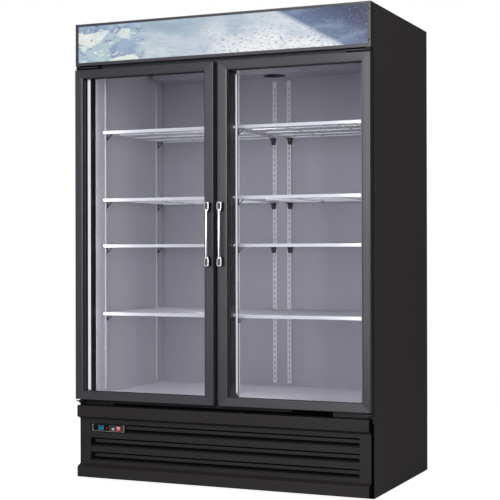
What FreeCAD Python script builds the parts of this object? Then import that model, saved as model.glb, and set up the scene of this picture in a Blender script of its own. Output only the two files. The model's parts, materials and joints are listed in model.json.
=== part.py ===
import FreeCAD, Part
import math
import os

import Sketcher

# A two-section glass door merchandiser, in millimetres. The sub-parts are drawn in the cabinet's own
# coordinates: X to the right, Y to the back from the plane of the cabinet's front face, Z up from the
# lower edge of its side panels. Every sub-part's Placement then moves it into the part's frame, whose
# origin is on the floor under the middle of the whole object.

document = FreeCAD.newDocument("GlassDoorMerchandiser")
sheet = document.addObject("Spreadsheet::Sheet", "Sizes")
finished = {}
local_origin = {}


class Size:
    """A length, held both as an expression on the sheet and as a number of millimetres."""

    def __init__(self, text, value):
        self.text = text
        self.value = value

    def __add__(self, other):
        return combine(self, "+", other)

    def __radd__(self, other):
        return combine(other, "+", self)

    def __sub__(self, other):
        return combine(self, "-", other)

    def __rsub__(self, other):
        return combine(other, "-", self)

    def __mul__(self, other):
        return combine(self, "*", other)

    def __rmul__(self, other):
        return combine(other, "*", self)

    def __truediv__(self, other):
        return combine(self, "/", other)

    def __neg__(self):
        return combine(-1, "*", self)


def text_of(size):
    return size.text if isinstance(size, Size) else f"({round(float(size), 6)})"


def value_of(size):
    return size.value if isinstance(size, Size) else float(size)


def combine(left, sign, right):
    a = value_of(left)
    b = value_of(right)
    results = {"+": a + b, "-": a - b, "*": a * b}
    value = a / b if sign == "/" else results[sign]
    return Size(f"({text_of(left)} {sign} {text_of(right)})", value)


def driving(alias, value):
    """Adds a row to the sheet, the name in column A and the number in column B."""
    row = driving.rows = getattr(driving, "rows", 0) + 1
    sheet.set(f"A{row}", alias)
    sheet.set(f"B{row}", str(value))
    sheet.setAlias(f"B{row}", alias)
    return Size(f"Sizes.{alias}", float(value))


def number(value):
    """A plain length that is not on the sheet."""
    return Size(text_of(value), value_of(value))


# ---------------------------------------------------------------- driving sizes
width = driving("bodyWidth", 1349)
depth = driving("bodyDepth", 770)
body_height = driving("bodyHeight", 1975)
base_gap = driving("baseGap", 8)
handle_reach = driving("handleReach", 78)
skin = driving("sheetThickness", 1)
liner = driving("linerThickness", 1.5)
side_wall = driving("sideWallThickness", 45.5)
rear_wall = driving("rearWallThickness", 73)
header_reach = driving("headerReach", 34)
header_bottom = driving("headerBottom", 1793)
door_front = driving("doorFront", 41)
door_back = driving("doorBack", 13)
door_bottom = driving("doorBottom", 344.5)
door_top = driving("doorTop", 1774.5)
door_gap = driving("doorGap", 21)
hinge_stile = driving("hingeStileWidth", 34.5)
handle_stile = driving("handleStileWidth", 41.5)
door_rail = driving("doorRailHeight", 36.5)
hinge_inset = driving("hingeInset", 19.5)
hinge_setback = driving("hingeSetback", 26)
pin_radius = driving("hingePinRadius", 4)
floor_level = driving("floorLevel", 357)
ceiling_level = driving("ceilingLevel", 1850)
compartment_top = driving("compartmentTop", 300)
opening_edge = driving("openingHalfWidth", 645)
opening_low = driving("openingBottom", 370)
opening_high = driving("openingTop", 1752)
lip_depth = driving("lipDepth", 60)
frame_depth = driving("frontFrameDepth", 16)
sill_bottom = driving("sillBottom", 318.5)
grille_half = driving("grilleHalfWidth", 665.5)
grille_reach = driving("grilleReach", 39)
slot_half = driving("slotHalfWidth", 616)
slot_height = driving("slotHeight", 36)
slot_pitch = driving("slotPitch", 62)
first_slot = driving("lowestSlotBottom", 79)
fit = driving("runningFit", 0.05)
foot_stem = driving("footStemRadius", 6)

half = width / 2
front_plane = (handle_reach - depth) / 2
liner_half = half - side_wall
liner_rear = depth - rear_wall
hinge_x = half - hinge_inset
shelf_levels = (1521, 1221, 1017.5, 717)
foot_places = {
    "foot_front_left": (-600, 80),
    "foot_front_right": (600, 80),
    "foot_rear_left": (-600, 700),
    "foot_rear_right": (600, 700),
}
LEFT = -1
RIGHT = 1


# ---------------------------------------------------------------- building blocks
def bind(thing, prop, size):
    thing.setExpression(prop, text_of(size))


def place(thing, corner):
    """Puts a primitive's own origin at a corner, and remembers it for finish()."""
    for axis, size in zip("xyz", corner):
        bind(thing, f"Placement.Base.{axis}", size)
    local_origin[thing.Name] = corner


def ordered(ends):
    return sorted(ends, key=value_of)


def around(centre, reach):
    return centre - reach, centre + reach


def block(x, y, z):
    """A box between two limits along each axis, given in either order."""
    thing = document.addObject("Part::Box", "Block")
    limits = [ordered(x), ordered(y), ordered(z)]
    for prop, (low, high) in zip(("Length", "Width", "Height"), limits):
        bind(thing, prop, high - low)
    place(thing, [low for low, high in limits])
    return thing


AXIS_TURN = {
    "x": FreeCAD.Rotation(FreeCAD.Vector(0, 1, 0), 90),
    "y": FreeCAD.Rotation(FreeCAD.Vector(1, 0, 0), -90),
    "z": FreeCAD.Rotation(),
}


def rod(start, radius, length, axis="z"):
    """A cylinder that starts at a point and runs along one positive axis."""
    thing = document.addObject("Part::Cylinder", "Rod")
    thing.Placement = FreeCAD.Placement(FreeCAD.Vector(), AXIS_TURN[axis])
    bind(thing, "Radius", radius)
    bind(thing, "Height", length)
    place(thing, start)
    return thing


def tube(start, outer, inner, length, axis="z"):
    return cut(rod(start, outer, length, axis), rod(start, inner, length, axis))


def group(pieces):
    """Separate solids that belong together in one sub-part."""
    thing = document.addObject("Part::Compound", "Group")
    thing.Links = pieces
    return thing


def join(*pieces):
    thing = document.addObject("Part::MultiFuse", "Joined")
    thing.Shapes = list(pieces)
    thing.Refine = True
    return thing


def cut(base, *tools):
    thing = document.addObject("Part::Cut", "Cut")
    thing.Base = base
    thing.Tool = tools[0] if len(tools) == 1 else group(list(tools))
    return thing


def origin_plane(body, role):
    return [plane for plane in body.Origin.OriginFeatures if plane.Role == role][0]


def hold(sketch, kind, corner, size):
    """Holds one corner of an outline at a distance from the sketch's origin."""
    rule = Sketcher.Constraint(kind, -1, 1, corner, 1, value_of(size))
    number = sketch.addConstraint(rule)
    sketch.setExpression(f"Constraints[{number}]", text_of(size))


def outline(body, plane, points):
    """A closed outline with every corner held by two sizes."""
    sketch = body.newObject("Sketcher::SketchObject", "Outline")
    sketch.AttachmentSupport = [(origin_plane(body, plane), "")]
    sketch.MapMode = "FlatFace"
    count = len(points)
    corners = [FreeCAD.Vector(value_of(u), value_of(v), 0) for u, v in points]
    for index in range(count):
        sketch.addGeometry(Part.LineSegment(corners[index], corners[(index + 1) % count]), False)
    for index in range(count):
        sketch.addConstraint(Sketcher.Constraint("Coincident", index, 2, (index + 1) % count, 1))
    for index, (u, v) in enumerate(points):
        hold(sketch, "DistanceX", index, u)
        hold(sketch, "DistanceY", index, v)
    return sketch


def prism(plane, points, low, high):
    """A padded outline: XY points run along Z, XZ points along Y and YZ points along X."""
    body = document.addObject("PartDesign::Body", "Body")
    sketch = outline(body, f"{plane}_Plane", points)
    offset = -high if plane == "XZ" else low
    bind(sketch, "AttachmentOffset.Base.z", offset)
    pad = body.newObject("PartDesign::Pad", "Pad")
    pad.Profile = sketch
    bind(pad, "Length", high - low)
    return body


def turned(points, centre=(0, 0)):
    """A solid of revolution about a vertical line, from (radius, height) points."""
    body = document.addObject("PartDesign::Body", "Body")
    sketch = outline(body, "XZ_Plane", points)
    spin = body.newObject("PartDesign::Revolution", "Revolution")
    spin.Profile = sketch
    spin.ReferenceAxis = (sketch, ["V_Axis"])
    spin.Angle = 360
    place(body, (centre[0], centre[1], 0))
    return body


def pipe_run(points, radius, bend):
    """A tube along straight runs joined by tangent arcs of one bend radius."""
    edges = []
    start = FreeCAD.Vector(*points[0])
    for before, corner, after in zip(points, points[1:], points[2:]):
        corner = FreeCAD.Vector(*corner)
        inward = (FreeCAD.Vector(*before) - corner).normalize()
        outward = (FreeCAD.Vector(*after) - corner).normalize()
        half_angle = inward.getAngle(outward) / 2
        setback = bend / math.tan(half_angle)
        arc_start = corner + inward * setback
        arc_end = corner + outward * setback
        bisector = (inward + outward).normalize()
        centre = corner + bisector * (bend / math.sin(half_angle))
        arc_middle = centre - bisector * bend
        edges.append(Part.LineSegment(start, arc_start).toShape())
        edges.append(Part.Arc(arc_start, arc_middle, arc_end).toShape())
        start = arc_end
    edges.append(Part.LineSegment(start, FreeCAD.Vector(*points[-1])).toShape())
    path = Part.Wire(edges)
    heading = FreeCAD.Vector(*points[1]) - FreeCAD.Vector(*points[0])
    ring = Part.Wire([Part.makeCircle(radius, FreeCAD.Vector(*points[0]), heading)])
    thing = document.addObject("Part::Feature", "Pipe")
    thing.Shape = path.makePipeShell([ring], True, False)
    return thing


def finish(label, thing, rotation=None):
    """Names a sub-part and moves it into the part's frame."""
    thing.Label = label
    if rotation:
        thing.Placement = FreeCAD.Placement(FreeCAD.Vector(), rotation)
    x, y, z = local_origin.get(thing.Name, (0, 0, 0))
    bind(thing, "Placement.Base.x", x)
    bind(thing, "Placement.Base.y", y + front_plane)
    bind(thing, "Placement.Base.z", z + base_gap)
    finished[label] = thing


# ---------------------------------------------------------------- shell and insulation
rear_flange = 15
front_flange = 25


def side_panel(label, side):
    """A steel side sheet, its edge turned in at the back and, below the doors, at the front."""
    outer = side * half
    inner = side * (half - skin)
    turn = side * (half - rear_flange)
    back = depth - skin
    front = number(0)
    points = [(outer, front), (outer, depth), (turn, depth), (turn, back), (inner, back), (inner, front)]
    sheet_metal = prism("XY", points, number(0), body_height)
    flange = block((outer, side * (half - front_flange)), (0, skin), (0, compartment_top - skin))
    finish(label, join(sheet_metal, flange))


def top_panel():
    sheet_half = half - skin
    thickness = (body_height - skin, body_height)
    finish("top_panel", block((-sheet_half, sheet_half), (0, depth - skin), thickness))


pipe_chase = (552, 733)
chase_half = 22
pipe_entry = (1765, 1825)


def rear_panel():
    """The back sheet, folded forward under the insulated box as the machine compartment's roof."""
    edge = half - 15.5
    under = half - skin
    back = block((-edge, edge), (depth - skin, depth), (compartment_top - skin, body_height - skin))
    roof = block((-under, under), (frame_depth, depth - skin), (compartment_top - skin, compartment_top))
    x, y = pipe_chase
    chase = block((x - chase_half, x + chase_half), (y - chase_half, y + chase_half), (290, 310))
    finish("rear_panel", cut(join(back, roof), chase))


def foam_insulation():
    """Five slabs of foam between the outer sheets and the liner, with a chase for the pipes."""
    outer = half - skin
    inner = liner_half + liner
    bottom = compartment_top
    top = body_height - skin
    back = depth - skin
    behind_liner = liner_rear + liner
    low = floor_level - liner
    high = ceiling_level + liner
    sides = []
    for s in (LEFT, RIGHT):
        points = [
            (s * outer, frame_depth),
            (s * (opening_edge + 1.8), frame_depth),
            (s * (liner_half + 1.8), lip_depth),
            (s * inner, lip_depth),
            (s * inner, back),
            (s * outer, back),
        ]
        sides.append(prism("XY", points, bottom, top))
    rear = block((-inner, inner), (behind_liner, back), (bottom, top))
    x, y = pipe_chase
    chase_x = (x - chase_half, x + chase_half)
    entry_low, entry_high = pipe_entry
    upright = block(chase_x, (y - chase_half, y + chase_half), (bottom, entry_high))
    elbow_room = block(chase_x, (behind_liner, y), (entry_low, entry_high))
    ceiling = block((-inner, inner), (lip_depth, behind_liner), (high, top))
    beam = block((-inner, inner), (frame_depth, lip_depth - liner), (opening_high + 6, top))
    floor = block((-inner, inner), (frame_depth, behind_liner), (bottom, low))
    finish("foam_insulation", group(sides + [cut(cut(rear, upright), elbow_room), ceiling, beam, floor]))


def liner_panels():
    """White inner walls, with a hole in the rear wall for the pipes."""
    low = floor_level - liner
    high = ceiling_level + liner
    outer = liner_half + liner
    deep = (lip_depth, liner_rear)
    walls = [block((s * liner_half, s * outer), deep, (low, high)) for s in (LEFT, RIGHT)]
    rear = block((-outer, outer), (liner_rear, liner_rear + liner), (low, high))
    x = pipe_chase[0]
    pipe_hole = block((x - chase_half, x + chase_half), (liner_rear - 5, liner_rear + 5), (1765, 1820))
    finish("liner_walls", group(walls + [cut(rear, pipe_hole)]))
    floor = block((-liner_half, liner_half), (lip_depth, liner_rear), (low, floor_level))
    ceiling = block((-liner_half, liner_half), (lip_depth - liner, liner_rear), (ceiling_level, high))
    drop = block((-liner_half, liner_half), (lip_depth - liner, lip_depth), (opening_high - 3, high))
    finish("liner_ceiling_and_floor", group([join(ceiling, drop), floor]))


bracket_screw_x = (515, 550)
bracket_screw_level = 329
screw_hole = 1.6


def front_frame():
    """The black rails and stiles that the door gaskets close on, with a drain recess in the sill."""
    outer = half - skin
    bottom = compartment_top - skin
    thick = (0, frame_depth)
    upright = (bottom, header_bottom)
    stiles = [block((s * opening_edge, s * outer), thick, upright) for s in (LEFT, RIGHT)]
    top = block((-opening_edge, opening_edge), thick, (opening_high, header_bottom))
    low_rail = block((-opening_edge, opening_edge), thick, (bottom, opening_low))
    drain_recess = block((328, 502), (-1, 9), (sill_bottom - 1, 328))
    screw_x = [s * across for s in (LEFT, RIGHT) for across in bracket_screw_x]
    holes = [rod((x, -1, bracket_screw_level), screw_hole, 15, "y") for x in screw_x]
    finish("front_frame", group(stiles + [top, cut(cut(low_rail, drain_recess), *holes)]))


def breaker_strips():
    """Plastic strips that slope from the cold liner to the front frame, two upright and two level."""
    wall = 1.6
    strips = []
    for s in (LEFT, RIGHT):
        front = s * opening_edge
        rear = s * liner_half
        points = [
            (front, frame_depth),
            (rear, lip_depth),
            (rear + s * wall, lip_depth),
            (front + s * wall, frame_depth),
        ]
        strips.append(prism("XY", points, opening_low + 2, opening_high - 2))
    for front, rear, out in ((opening_high, opening_high - 7, 1), (opening_low, floor_level, -1)):
        points = [
            (frame_depth, front),
            (lip_depth - 2, rear + 0.2 - out * 0.2),
            (lip_depth - 2, rear + out * wall + 0.2 - out * 0.2),
            (frame_depth, front + out * wall),
        ]
        strips.append(prism("YZ", points, -liner_half, liner_half))
    finish("breaker_strips", group(strips))


mullion_half = 48
mullion_web_half = 25
mullion_web_depth = 105
post_half = 14
post_depth = 165


def mullion():
    """The centre upright: a flange for the gaskets, a web, and a post that carries shelves and lamps."""
    flange = block((-mullion_half, mullion_half), (0, 15), (opening_low, opening_high))
    web_low = floor_level + 15
    web_high = opening_high - 10
    web = block((-mullion_web_half, mullion_web_half), (15, mullion_web_depth), (web_low, web_high))
    post = block((-post_half, post_half), (100, post_depth), (floor_level, ceiling_level))
    finish("mullion", join(flange, web, post))


# ---------------------------------------------------------------- header sign
sign_half = 661
sign_low = 1807
sign_high = 1964


def header_frame():
    """Two extruded rails, each with a groove that holds the sign panel's edge."""
    rails = []
    groove = block((-sign_half, sign_half), (-32.5, -28.5), (sign_low - 4, sign_high + 4))
    for low, high in ((header_bottom, sign_low), (sign_high, body_height)):
        rail = block((-sign_half, sign_half), (-header_reach, 0), (low, high))
        rails.append(cut(rail, groove))
    finish("header_frame", group(rails))


header_screw_levels = (1822, 1946)
header_screw_x = 667.5


def header_end_caps():
    """End blocks that close the sign box, with a hole for each of their screws."""
    caps = []
    for s in (LEFT, RIGHT):
        cap = block((s * sign_half, s * half), (-header_reach, 0), (header_bottom, body_height))
        x = s * header_screw_x
        front = -header_reach - 1
        holes = [rod((x, front, level), screw_hole, 21, "y") for level in header_screw_levels]
        caps.append(cut(cap, *holes))
    finish("header_end_caps", group(caps))


def sign_panel():
    panel_half = sign_half - 0.5
    finish("sign_panel", block((-panel_half, panel_half), (-32, -29), (sign_low - 3.5, sign_high + 3.5)))


def header_light_box():
    """A white tray behind the lamp that throws its light at the sign."""
    tray_half = half - skin - 0.5
    back = block((-tray_half, tray_half), (14, 15), (header_bottom + 1, body_height - skin - 1))
    top = block((-tray_half, tray_half), (1, 15), (body_height - skin - 2, body_height - skin - 1))
    bottom = block((-tray_half, tray_half), (1, 15), (header_bottom + 1, header_bottom + 2))
    finish("header_light_box", join(back, top, bottom))


def header_lamp():
    """An LED tube between two lamp holders that stand on the light box."""
    level = 1885
    glass = rod((-590, -9, level), 13, 1180, "x")
    holders = [block((s * 590, s * 602), (-24, 14), (level - 17, level + 17)) for s in (LEFT, RIGHT)]
    finish("header_lamp", group([glass] + holders))


# ---------------------------------------------------------------- lamps, shelves and pilasters
lamp_low = 380
lamp_high = 1740


def led_lamps():
    """Four upright LED bars: one beside each outer edge of the opening, two behind the mullion."""
    housings = []
    diffusers = []
    for s in (LEFT, RIGHT):
        housings.append(block((s * 641, s * 644), (0.5, 14), (lamp_low, lamp_high)))
        diffusers.append(block((s * 620, s * 641), (0.5, 14), (lamp_low, lamp_high)))
        housings.append(block((s * post_half, s * 17), (110, 132), (lamp_low, lamp_high)))
        diffusers.append(block((s * 17, s * 29), (112, 130), (lamp_low, lamp_high)))
    finish("led_lamp_housings", group(housings))
    finish("led_lamp_diffusers", group(diffusers))


pilaster_width = 20
pilaster_thick = 5
pilaster_low = 372
pilaster_high = 1780
front_pilaster_y = 151
rear_pilaster_y = 640
rear_centre_x = 36


def slotted_strip(strip, slot):
    """One slotted steel strip; the slot sketch is repeated up its height."""
    pitch = 25
    count = int((pilaster_high - pilaster_low - 20) / pitch)
    (x, y, z) = slot
    slots = [block(x, y, (z + pitch * n, z + pitch * n + 14)) for n in range(count)]
    return cut(strip, *slots)


def shelf_pilasters():
    """Slotted strips: two on each side wall, two on the mullion post and two on the rear wall."""
    strips = []
    upright = (pilaster_low, pilaster_high)
    first = pilaster_low + 12
    reach = pilaster_width / 2
    for s in (LEFT, RIGHT):
        for y in (front_pilaster_y, rear_pilaster_y):
            thick = (s * liner_half, s * (liner_half - pilaster_thick))
            strip = block(thick, (y - reach, y + reach), upright)
            slot = ((s * (liner_half + 1), s * (liner_half - 6)), (y - 3, y + 3), first)
            strips.append(slotted_strip(strip, slot))
        post_strip = block((s * post_half, s * (post_half + pilaster_thick)), (141, 161), upright)
        post_slot = ((s * (post_half - 1), s * (post_half + 6)), (148, 154), first)
        strips.append(slotted_strip(post_strip, post_slot))
        x = s * rear_centre_x
        thick = (liner_rear - pilaster_thick, liner_rear)
        rear_strip = block((x - reach, x + reach), thick, upright)
        rear_slot = ((x - 3, x + 3), (liner_rear - 6, liner_rear + 1), first)
        strips.append(slotted_strip(rear_strip, rear_slot))
    finish("shelf_pilasters", group(strips))


clip_reach = 27
clip_drop = 30
clip_half = 3
shelf_outer = 620
shelf_inner = 37
shelf_front = 105
shelf_back = 682
wire = 3
shelf_rod = 6


def clip_outline(foot, reach, top):
    return [(foot, top), (foot + reach, top), (foot, top - clip_drop)]


def shelf_clips():
    """Triangular clips, four under each shelf, hooked on the pilasters."""
    clips = []
    side_foot = liner_half - pilaster_thick
    post_foot = post_half + pilaster_thick
    rear_foot = liner_rear - pilaster_thick
    for level in shelf_levels:
        top = level - wire - shelf_rod
        for s in (LEFT, RIGHT):
            wall = clip_outline(s * side_foot, -s * clip_reach, top)
            for y in (front_pilaster_y, rear_pilaster_y):
                clips.append(prism("XZ", wall, number(y - clip_half), number(y + clip_half)))
            post = clip_outline(s * post_foot, s * clip_reach, top)
            y = front_pilaster_y
            clips.append(prism("XZ", post, number(y - clip_half), number(y + clip_half)))
            x = s * (rear_centre_x + 5)
            rear = clip_outline(rear_foot, -clip_reach, top)
            clips.append(prism("YZ", rear, number(x - clip_half), number(x + clip_half)))
    finish("shelf_clips", group(clips))


def wire_shelf():
    """One welded wire shelf of the right-hand section, its top at height zero."""
    inner = shelf_inner
    outer = shelf_outer
    under = -wire - shelf_rod
    pieces = [
        block((inner, outer), (shelf_front, shelf_front + 4), (-14, 0)),
        block((inner, outer), (shelf_back - shelf_rod, shelf_back), (under, 0)),
        block((inner, inner + shelf_rod), (shelf_front, shelf_back), (under, -wire)),
        block((outer - shelf_rod, outer), (shelf_front, shelf_back), (under, -wire)),
    ]
    deep = (shelf_front, shelf_back)
    middle = (inner + outer) / 2
    for offset in (-115, 115):
        x = middle + offset
        pieces.append(block((x - shelf_rod / 2, x + shelf_rod / 2), deep, (under - 4, -wire)))
    for y in (250, 400, 550):
        pieces.append(block((inner, outer), (y, y + shelf_rod), (under, -wire)))
    gaps = 25
    pitch = (outer - inner - wire) / gaps
    for n in range(gaps + 1):
        x = inner + pitch * n
        pieces.append(block((x, x + wire), deep, (-wire, 0)))
    return join(*pieces)


def wire_shelves():
    """Copies of the one shelf at each level of both sections."""
    pattern = wire_shelf()
    document.recompute()
    copies = []
    for level in shelf_levels:
        for shift in (0, -(shelf_inner + shelf_outer)):
            copy = document.addObject("Part::Feature", "Shelf")
            copy.Shape = pattern.Shape
            place(copy, (shift, 0, level))
            copies.append(copy)
    finish("wire_shelves", group(copies))


# ---------------------------------------------------------------- evaporator
cover_half = 592
cover_front = 533
cover_low = 1795
fan_centre = (0, 600)
evaporator_fan_radius = 45


def evaporator_cover():
    """A folded cover under the ceiling, with an air slot in front and a round hole for the fan."""
    sheet_wall = 1.2
    back = liner_rear
    outer = block((-cover_half, cover_half), (cover_front, back), (cover_low, ceiling_level))
    room = block(
        (sheet_wall - cover_half, cover_half - sheet_wall),
        (cover_front + sheet_wall, back + 1),
        (cover_low + sheet_wall, ceiling_level + 1),
    )
    outlet = block((-520, 520), (cover_front - 1, cover_front + 3), (1822, 1840))
    inlet = rod((fan_centre[0], fan_centre[1], cover_low - 1), evaporator_fan_radius + 1, 4)
    drain = rod((540, 660, cover_low - 1), 9, 4)
    finish("evaporator_cover", cut(outer, room, outlet, inlet, drain))


def evaporator_coil():
    """The finned block beside the fan, drawn as fins on two tubes."""
    pieces = []
    for s in (LEFT, RIGHT):
        for level in (1812, 1832):
            pieces.append(rod((70 if s > 0 else -480, 610, level), 5, 410, "x"))
        for n in range(28):
            x = s * (80 + n * 14)
            pieces.append(block((x, x + 1.2), (570, 650), (1802, 1842)))
    left = [piece for piece in pieces if value_of(local_origin[piece.Name][0]) < 0]
    right = [piece for piece in pieces if value_of(local_origin[piece.Name][0]) > 0]
    finish("evaporator_coil", group([join(*left), join(*right)]))


def evaporator_fan_frame():
    """The fan's square frame with its motor stub and the guard rings below the cover."""
    x, y = fan_centre
    floor = cover_low + 1.2
    frame = block((x - 52, x + 52), (y - 52, y + 52), (floor, floor + 28))
    bore = rod((x, y, floor - 1), evaporator_fan_radius + 0.8, 40)
    bars = [
        block((x - 50, x + 50), (y - 2, y + 2), (floor + 24, floor + 28)),
        block((x - 2, x + 2), (y - 50, y + 50), (floor + 24, floor + 28)),
    ]
    stub = rod((x, y, floor + 8), 3 - fit, 18)
    finish("evaporator_fan_frame", join(cut(frame, bore), stub, *bars))


def evaporator_fan_guard():
    """Wire rings and spokes under the fan opening."""
    x, y = fan_centre
    low = cover_low - 3
    rings = [tube((x, y, low), radius + 1.2, radius - 1.2, 2) for radius in (16, 28, 40, 50)]
    spokes = [
        block((x - 50, x + 50), (y - 1, y + 1), (low, low + 2)),
        block((x - 1, x + 1), (y - 50, y + 50), (low, low + 2)),
    ]
    posts = [
        block((x + dx - 3, x + dx + 3), (y + dy - 3, y + dy + 3), (low + 1, cover_low))
        for dx, dy in ((50, 0), (-50, 0), (0, 50), (0, -50))
    ]
    finish("evaporator_fan_guard", join(*rings, *spokes, *posts))


def axial_fan(tip, hub, bore, height, blades, chord, pitch):
    """A fan about its own Z axis: a bored hub and a polar pattern of pitched blades."""
    body = document.addObject("PartDesign::Body", "Fan")
    core = body.newObject("PartDesign::AdditiveCylinder", "Hub")
    bind(core, "Radius", hub)
    bind(core, "Height", height)
    blade_thick = 1.6
    blade = body.newObject("PartDesign::AdditiveBox", "Blade")
    root = hub - 2
    bind(blade, "Length", tip - root)
    bind(blade, "Width", chord)
    bind(blade, "Height", blade_thick)
    lean = math.radians(pitch)
    across = (chord * math.cos(lean) - blade_thick * math.sin(lean)) / 2
    rise = (chord * math.sin(lean) + blade_thick * math.cos(lean)) / 2
    corner = FreeCAD.Vector(root, -across, height / 2 - rise)
    blade.Placement = FreeCAD.Placement(corner, FreeCAD.Rotation(FreeCAD.Vector(1, 0, 0), pitch))
    document.recompute()
    pattern = body.newObject("PartDesign::PolarPattern", "Blades")
    pattern.Originals = [blade]
    pattern.Axis = (origin_plane(body, "Z_Axis"), [""])
    pattern.Angle = 360
    pattern.Occurrences = blades
    body.Tip = pattern
    hole = body.newObject("PartDesign::SubtractiveCylinder", "Bore")
    bind(hole, "Radius", bore)
    bind(hole, "Height", height + 2)
    hole.Placement.Base.z = -1
    body.Tip = hole
    return body


def evaporator_fan():
    fan = axial_fan(evaporator_fan_radius - 1.5, 16, 3, 12, 7, 20, 30)
    local_origin[fan.Name] = (fan_centre[0], fan_centre[1], cover_low + 10)
    finish("evaporator_fan", fan)


# ---------------------------------------------------------------- front grille and controls
controller_x = (-610, -448)
controller_z = (206.5, 237.5)
controller_front = -13
display_x = (-600, -524)
display_z = (209.5, 234.5)
blade_start_beside_controller = -440


def front_grille():
    """A moulded grille: two raised bands, a recessed panel, three slots and a blade in each."""
    wall = 4
    face = -10
    behind = face + wall
    rear_edge = -0.5
    top = sill_bottom - 1
    bottom = 7.5
    band_low = 266
    front = -grille_reach
    hollow = front + wall
    points = [
        (front, top),
        (rear_edge, top),
        (rear_edge, top - wall),
        (hollow, top - wall),
        (hollow, band_low + 6),
        (behind, band_low - 4),
        (behind, 58),
        (hollow, 48),
        (hollow, bottom),
        (front, bottom),
        (front, 52),
        (face, 64),
        (face, band_low - 8),
        (front, band_low + 4),
    ]
    panel = prism("YZ", points, -grille_half, grille_half)
    slots = []
    blades = []
    for row in range(3):
        low = first_slot + slot_pitch * row
        through = (face - 1, behind + 1)
        slots.append(block((-slot_half, slot_half), through, (low, low + slot_height)))
        start = blade_start_beside_controller if row == 2 else -slot_half
        blade = [
            (behind, low - 4),
            (behind, low),
            (behind + 14, low + 24),
            (behind + 18, low + 24),
            (behind + 4, low - 4),
        ]
        blades.append(prism("YZ", blade, number(start), slot_half))
    contour = [
        (rear_edge, top),
        (front, top),
        (front, band_low + 4),
        (face, band_low - 8),
        (face, 64),
        (front, 52),
        (front, bottom),
        (rear_edge, bottom),
    ]
    ends = []
    for s in (LEFT, RIGHT):
        inner, outer = ordered((s * grille_half, s * (grille_half - 3)))
        ends.append(prism("YZ", contour, inner, outer))
    finish("front_grille", join(cut(panel, *slots), *blades, *ends))


switch_pin = 1.5
rocker_depth_y = -6
rockers = {"power_switch": (-476.5, 221, 15, 20), "light_switch": (-503, 219, 12, 13)}
rocker_room = 3.5
button_place = (-517, 229.5)
button_radius = 3


def controller_housing():
    """The bezel and box that hold the display, two rockers and a setting button."""
    before = controller_front - 1
    case = block(controller_x, (controller_front, 30), controller_z)
    window = block(display_x, (before, -6), display_z)
    cavities = []
    for x, z, wide, tall in rockers.values():
        across = wide / 2 + 1
        up = tall / 2 + rocker_room
        cavities.append(block((x - across, x + across), (before, 9), (z - up, z + up)))
        pin_reach = wide / 2 + 3
        cavities.append(rod((x - pin_reach, rocker_depth_y, z), switch_pin, 2 * pin_reach, "x"))
    x, z = button_place
    cavities.append(rod((x, before, z), button_radius, 12, "y"))
    housing = case
    for cavity in [window] + cavities:
        housing = cut(housing, cavity)
    finish("controller_housing", housing)


def controller_display():
    """A flat display module seated in the bezel's window."""
    play = 0.2
    across = (display_x[0] + play, display_x[1] - play)
    up = (display_z[0] + play, display_z[1] - play)
    finish("controller_display", block(across, (controller_front + 2, -6), up))


def rocker(label):
    """A rocker cap on a cross pin, tilted between its two positions."""
    x, z, wide, tall = rockers[label]
    points = [
        (-17, z + tall / 2 - 1),
        (-14, z),
        (-14.5, z - tall / 2 + 1),
        (-4, z - tall / 2 + 1),
        (-2, z),
        (-4, z + tall / 2 - 1),
    ]
    cap = prism("YZ", points, number(x - wide / 2), number(x + wide / 2))
    reach = wide / 2 + 2.7
    pin = rod((x - reach, rocker_depth_y, z), switch_pin - fit, 2 * reach, "x")
    finish(label, join(cap, pin))


def set_button():
    x, z = button_place
    finish("set_button", rod((x, -15, z), button_radius - fit, 11, "y"))


# ---------------------------------------------------------------- base and machine compartment
def base_frame():
    """Two side rails, three cross rails and the tray, welded, with threaded foot holes."""
    rail_low = 3
    rail_high = 41
    rails = []
    for s in (LEFT, RIGHT):
        rails.append(block((s * 585, s * 671), (20, 750), (rail_high - 4, rail_high)))
        rails.append(block((s * 667, s * 671), (20, 750), (rail_low, rail_high)))
        rails.append(block((s * 585, s * 589), (20, 750), (rail_low, rail_high)))
    for y in (20, 380, 746):
        rails.append(block((-667, 667), (y, y + 4), (rail_low, rail_high)))
    tray = block((-667, 667), (20, 750), (rail_high, rail_high + 2))
    bosses = [rod((x, y, rail_low + 2), 14, rail_high - rail_low - 2) for x, y in foot_places.values()]
    holes = [rod((x, y, 0), foot_stem, 50) for x, y in foot_places.values()]
    finish("base_frame", cut(join(*rails, *bosses, tray), *holes))


def levelling_foot(label):
    """A screw foot: a round pad and a stem that turns in the base frame's boss."""
    x, y = foot_places[label]
    stem = foot_stem - fit
    points = [(0, -8), (19, -8), (20, -7), (20, -3), (12, -1.5), (stem, -1.5), (stem, 36), (0, 36)]
    finish(label, turned(points, (x, y)))


tray_top = 43


def compressor():
    """A hermetic compressor: welded shell, base plate, terminal cover and four rubber mounts."""
    x, y = 230, 470
    shell = [(0, 66), (70, 66), (92, 86), (92, 205), (84, 228), (60, 244), (0, 250)]
    pot = turned([(radius, level) for radius, level in shell], (x, y))
    plate = block((x - 120, x + 120), (y - 75, y + 75), (60, 66.5))
    mounts = [rod((x + sx * 100, y + sy * 60, tray_top), 14, 17.5) for sx in (-1, 1) for sy in (-1, 1)]
    cover = block((x + 80, x + 120), (y - 40, y + 40), (110, 180))
    cavity = rod((x, y, 72), 86, 140)
    finish("compressor", join(cut(pot, cavity), plate, cover, *mounts))


condenser_x = (-470, -70)
condenser_fan_centre = (-270, 172)
condenser_fan_radius = 100


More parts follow.
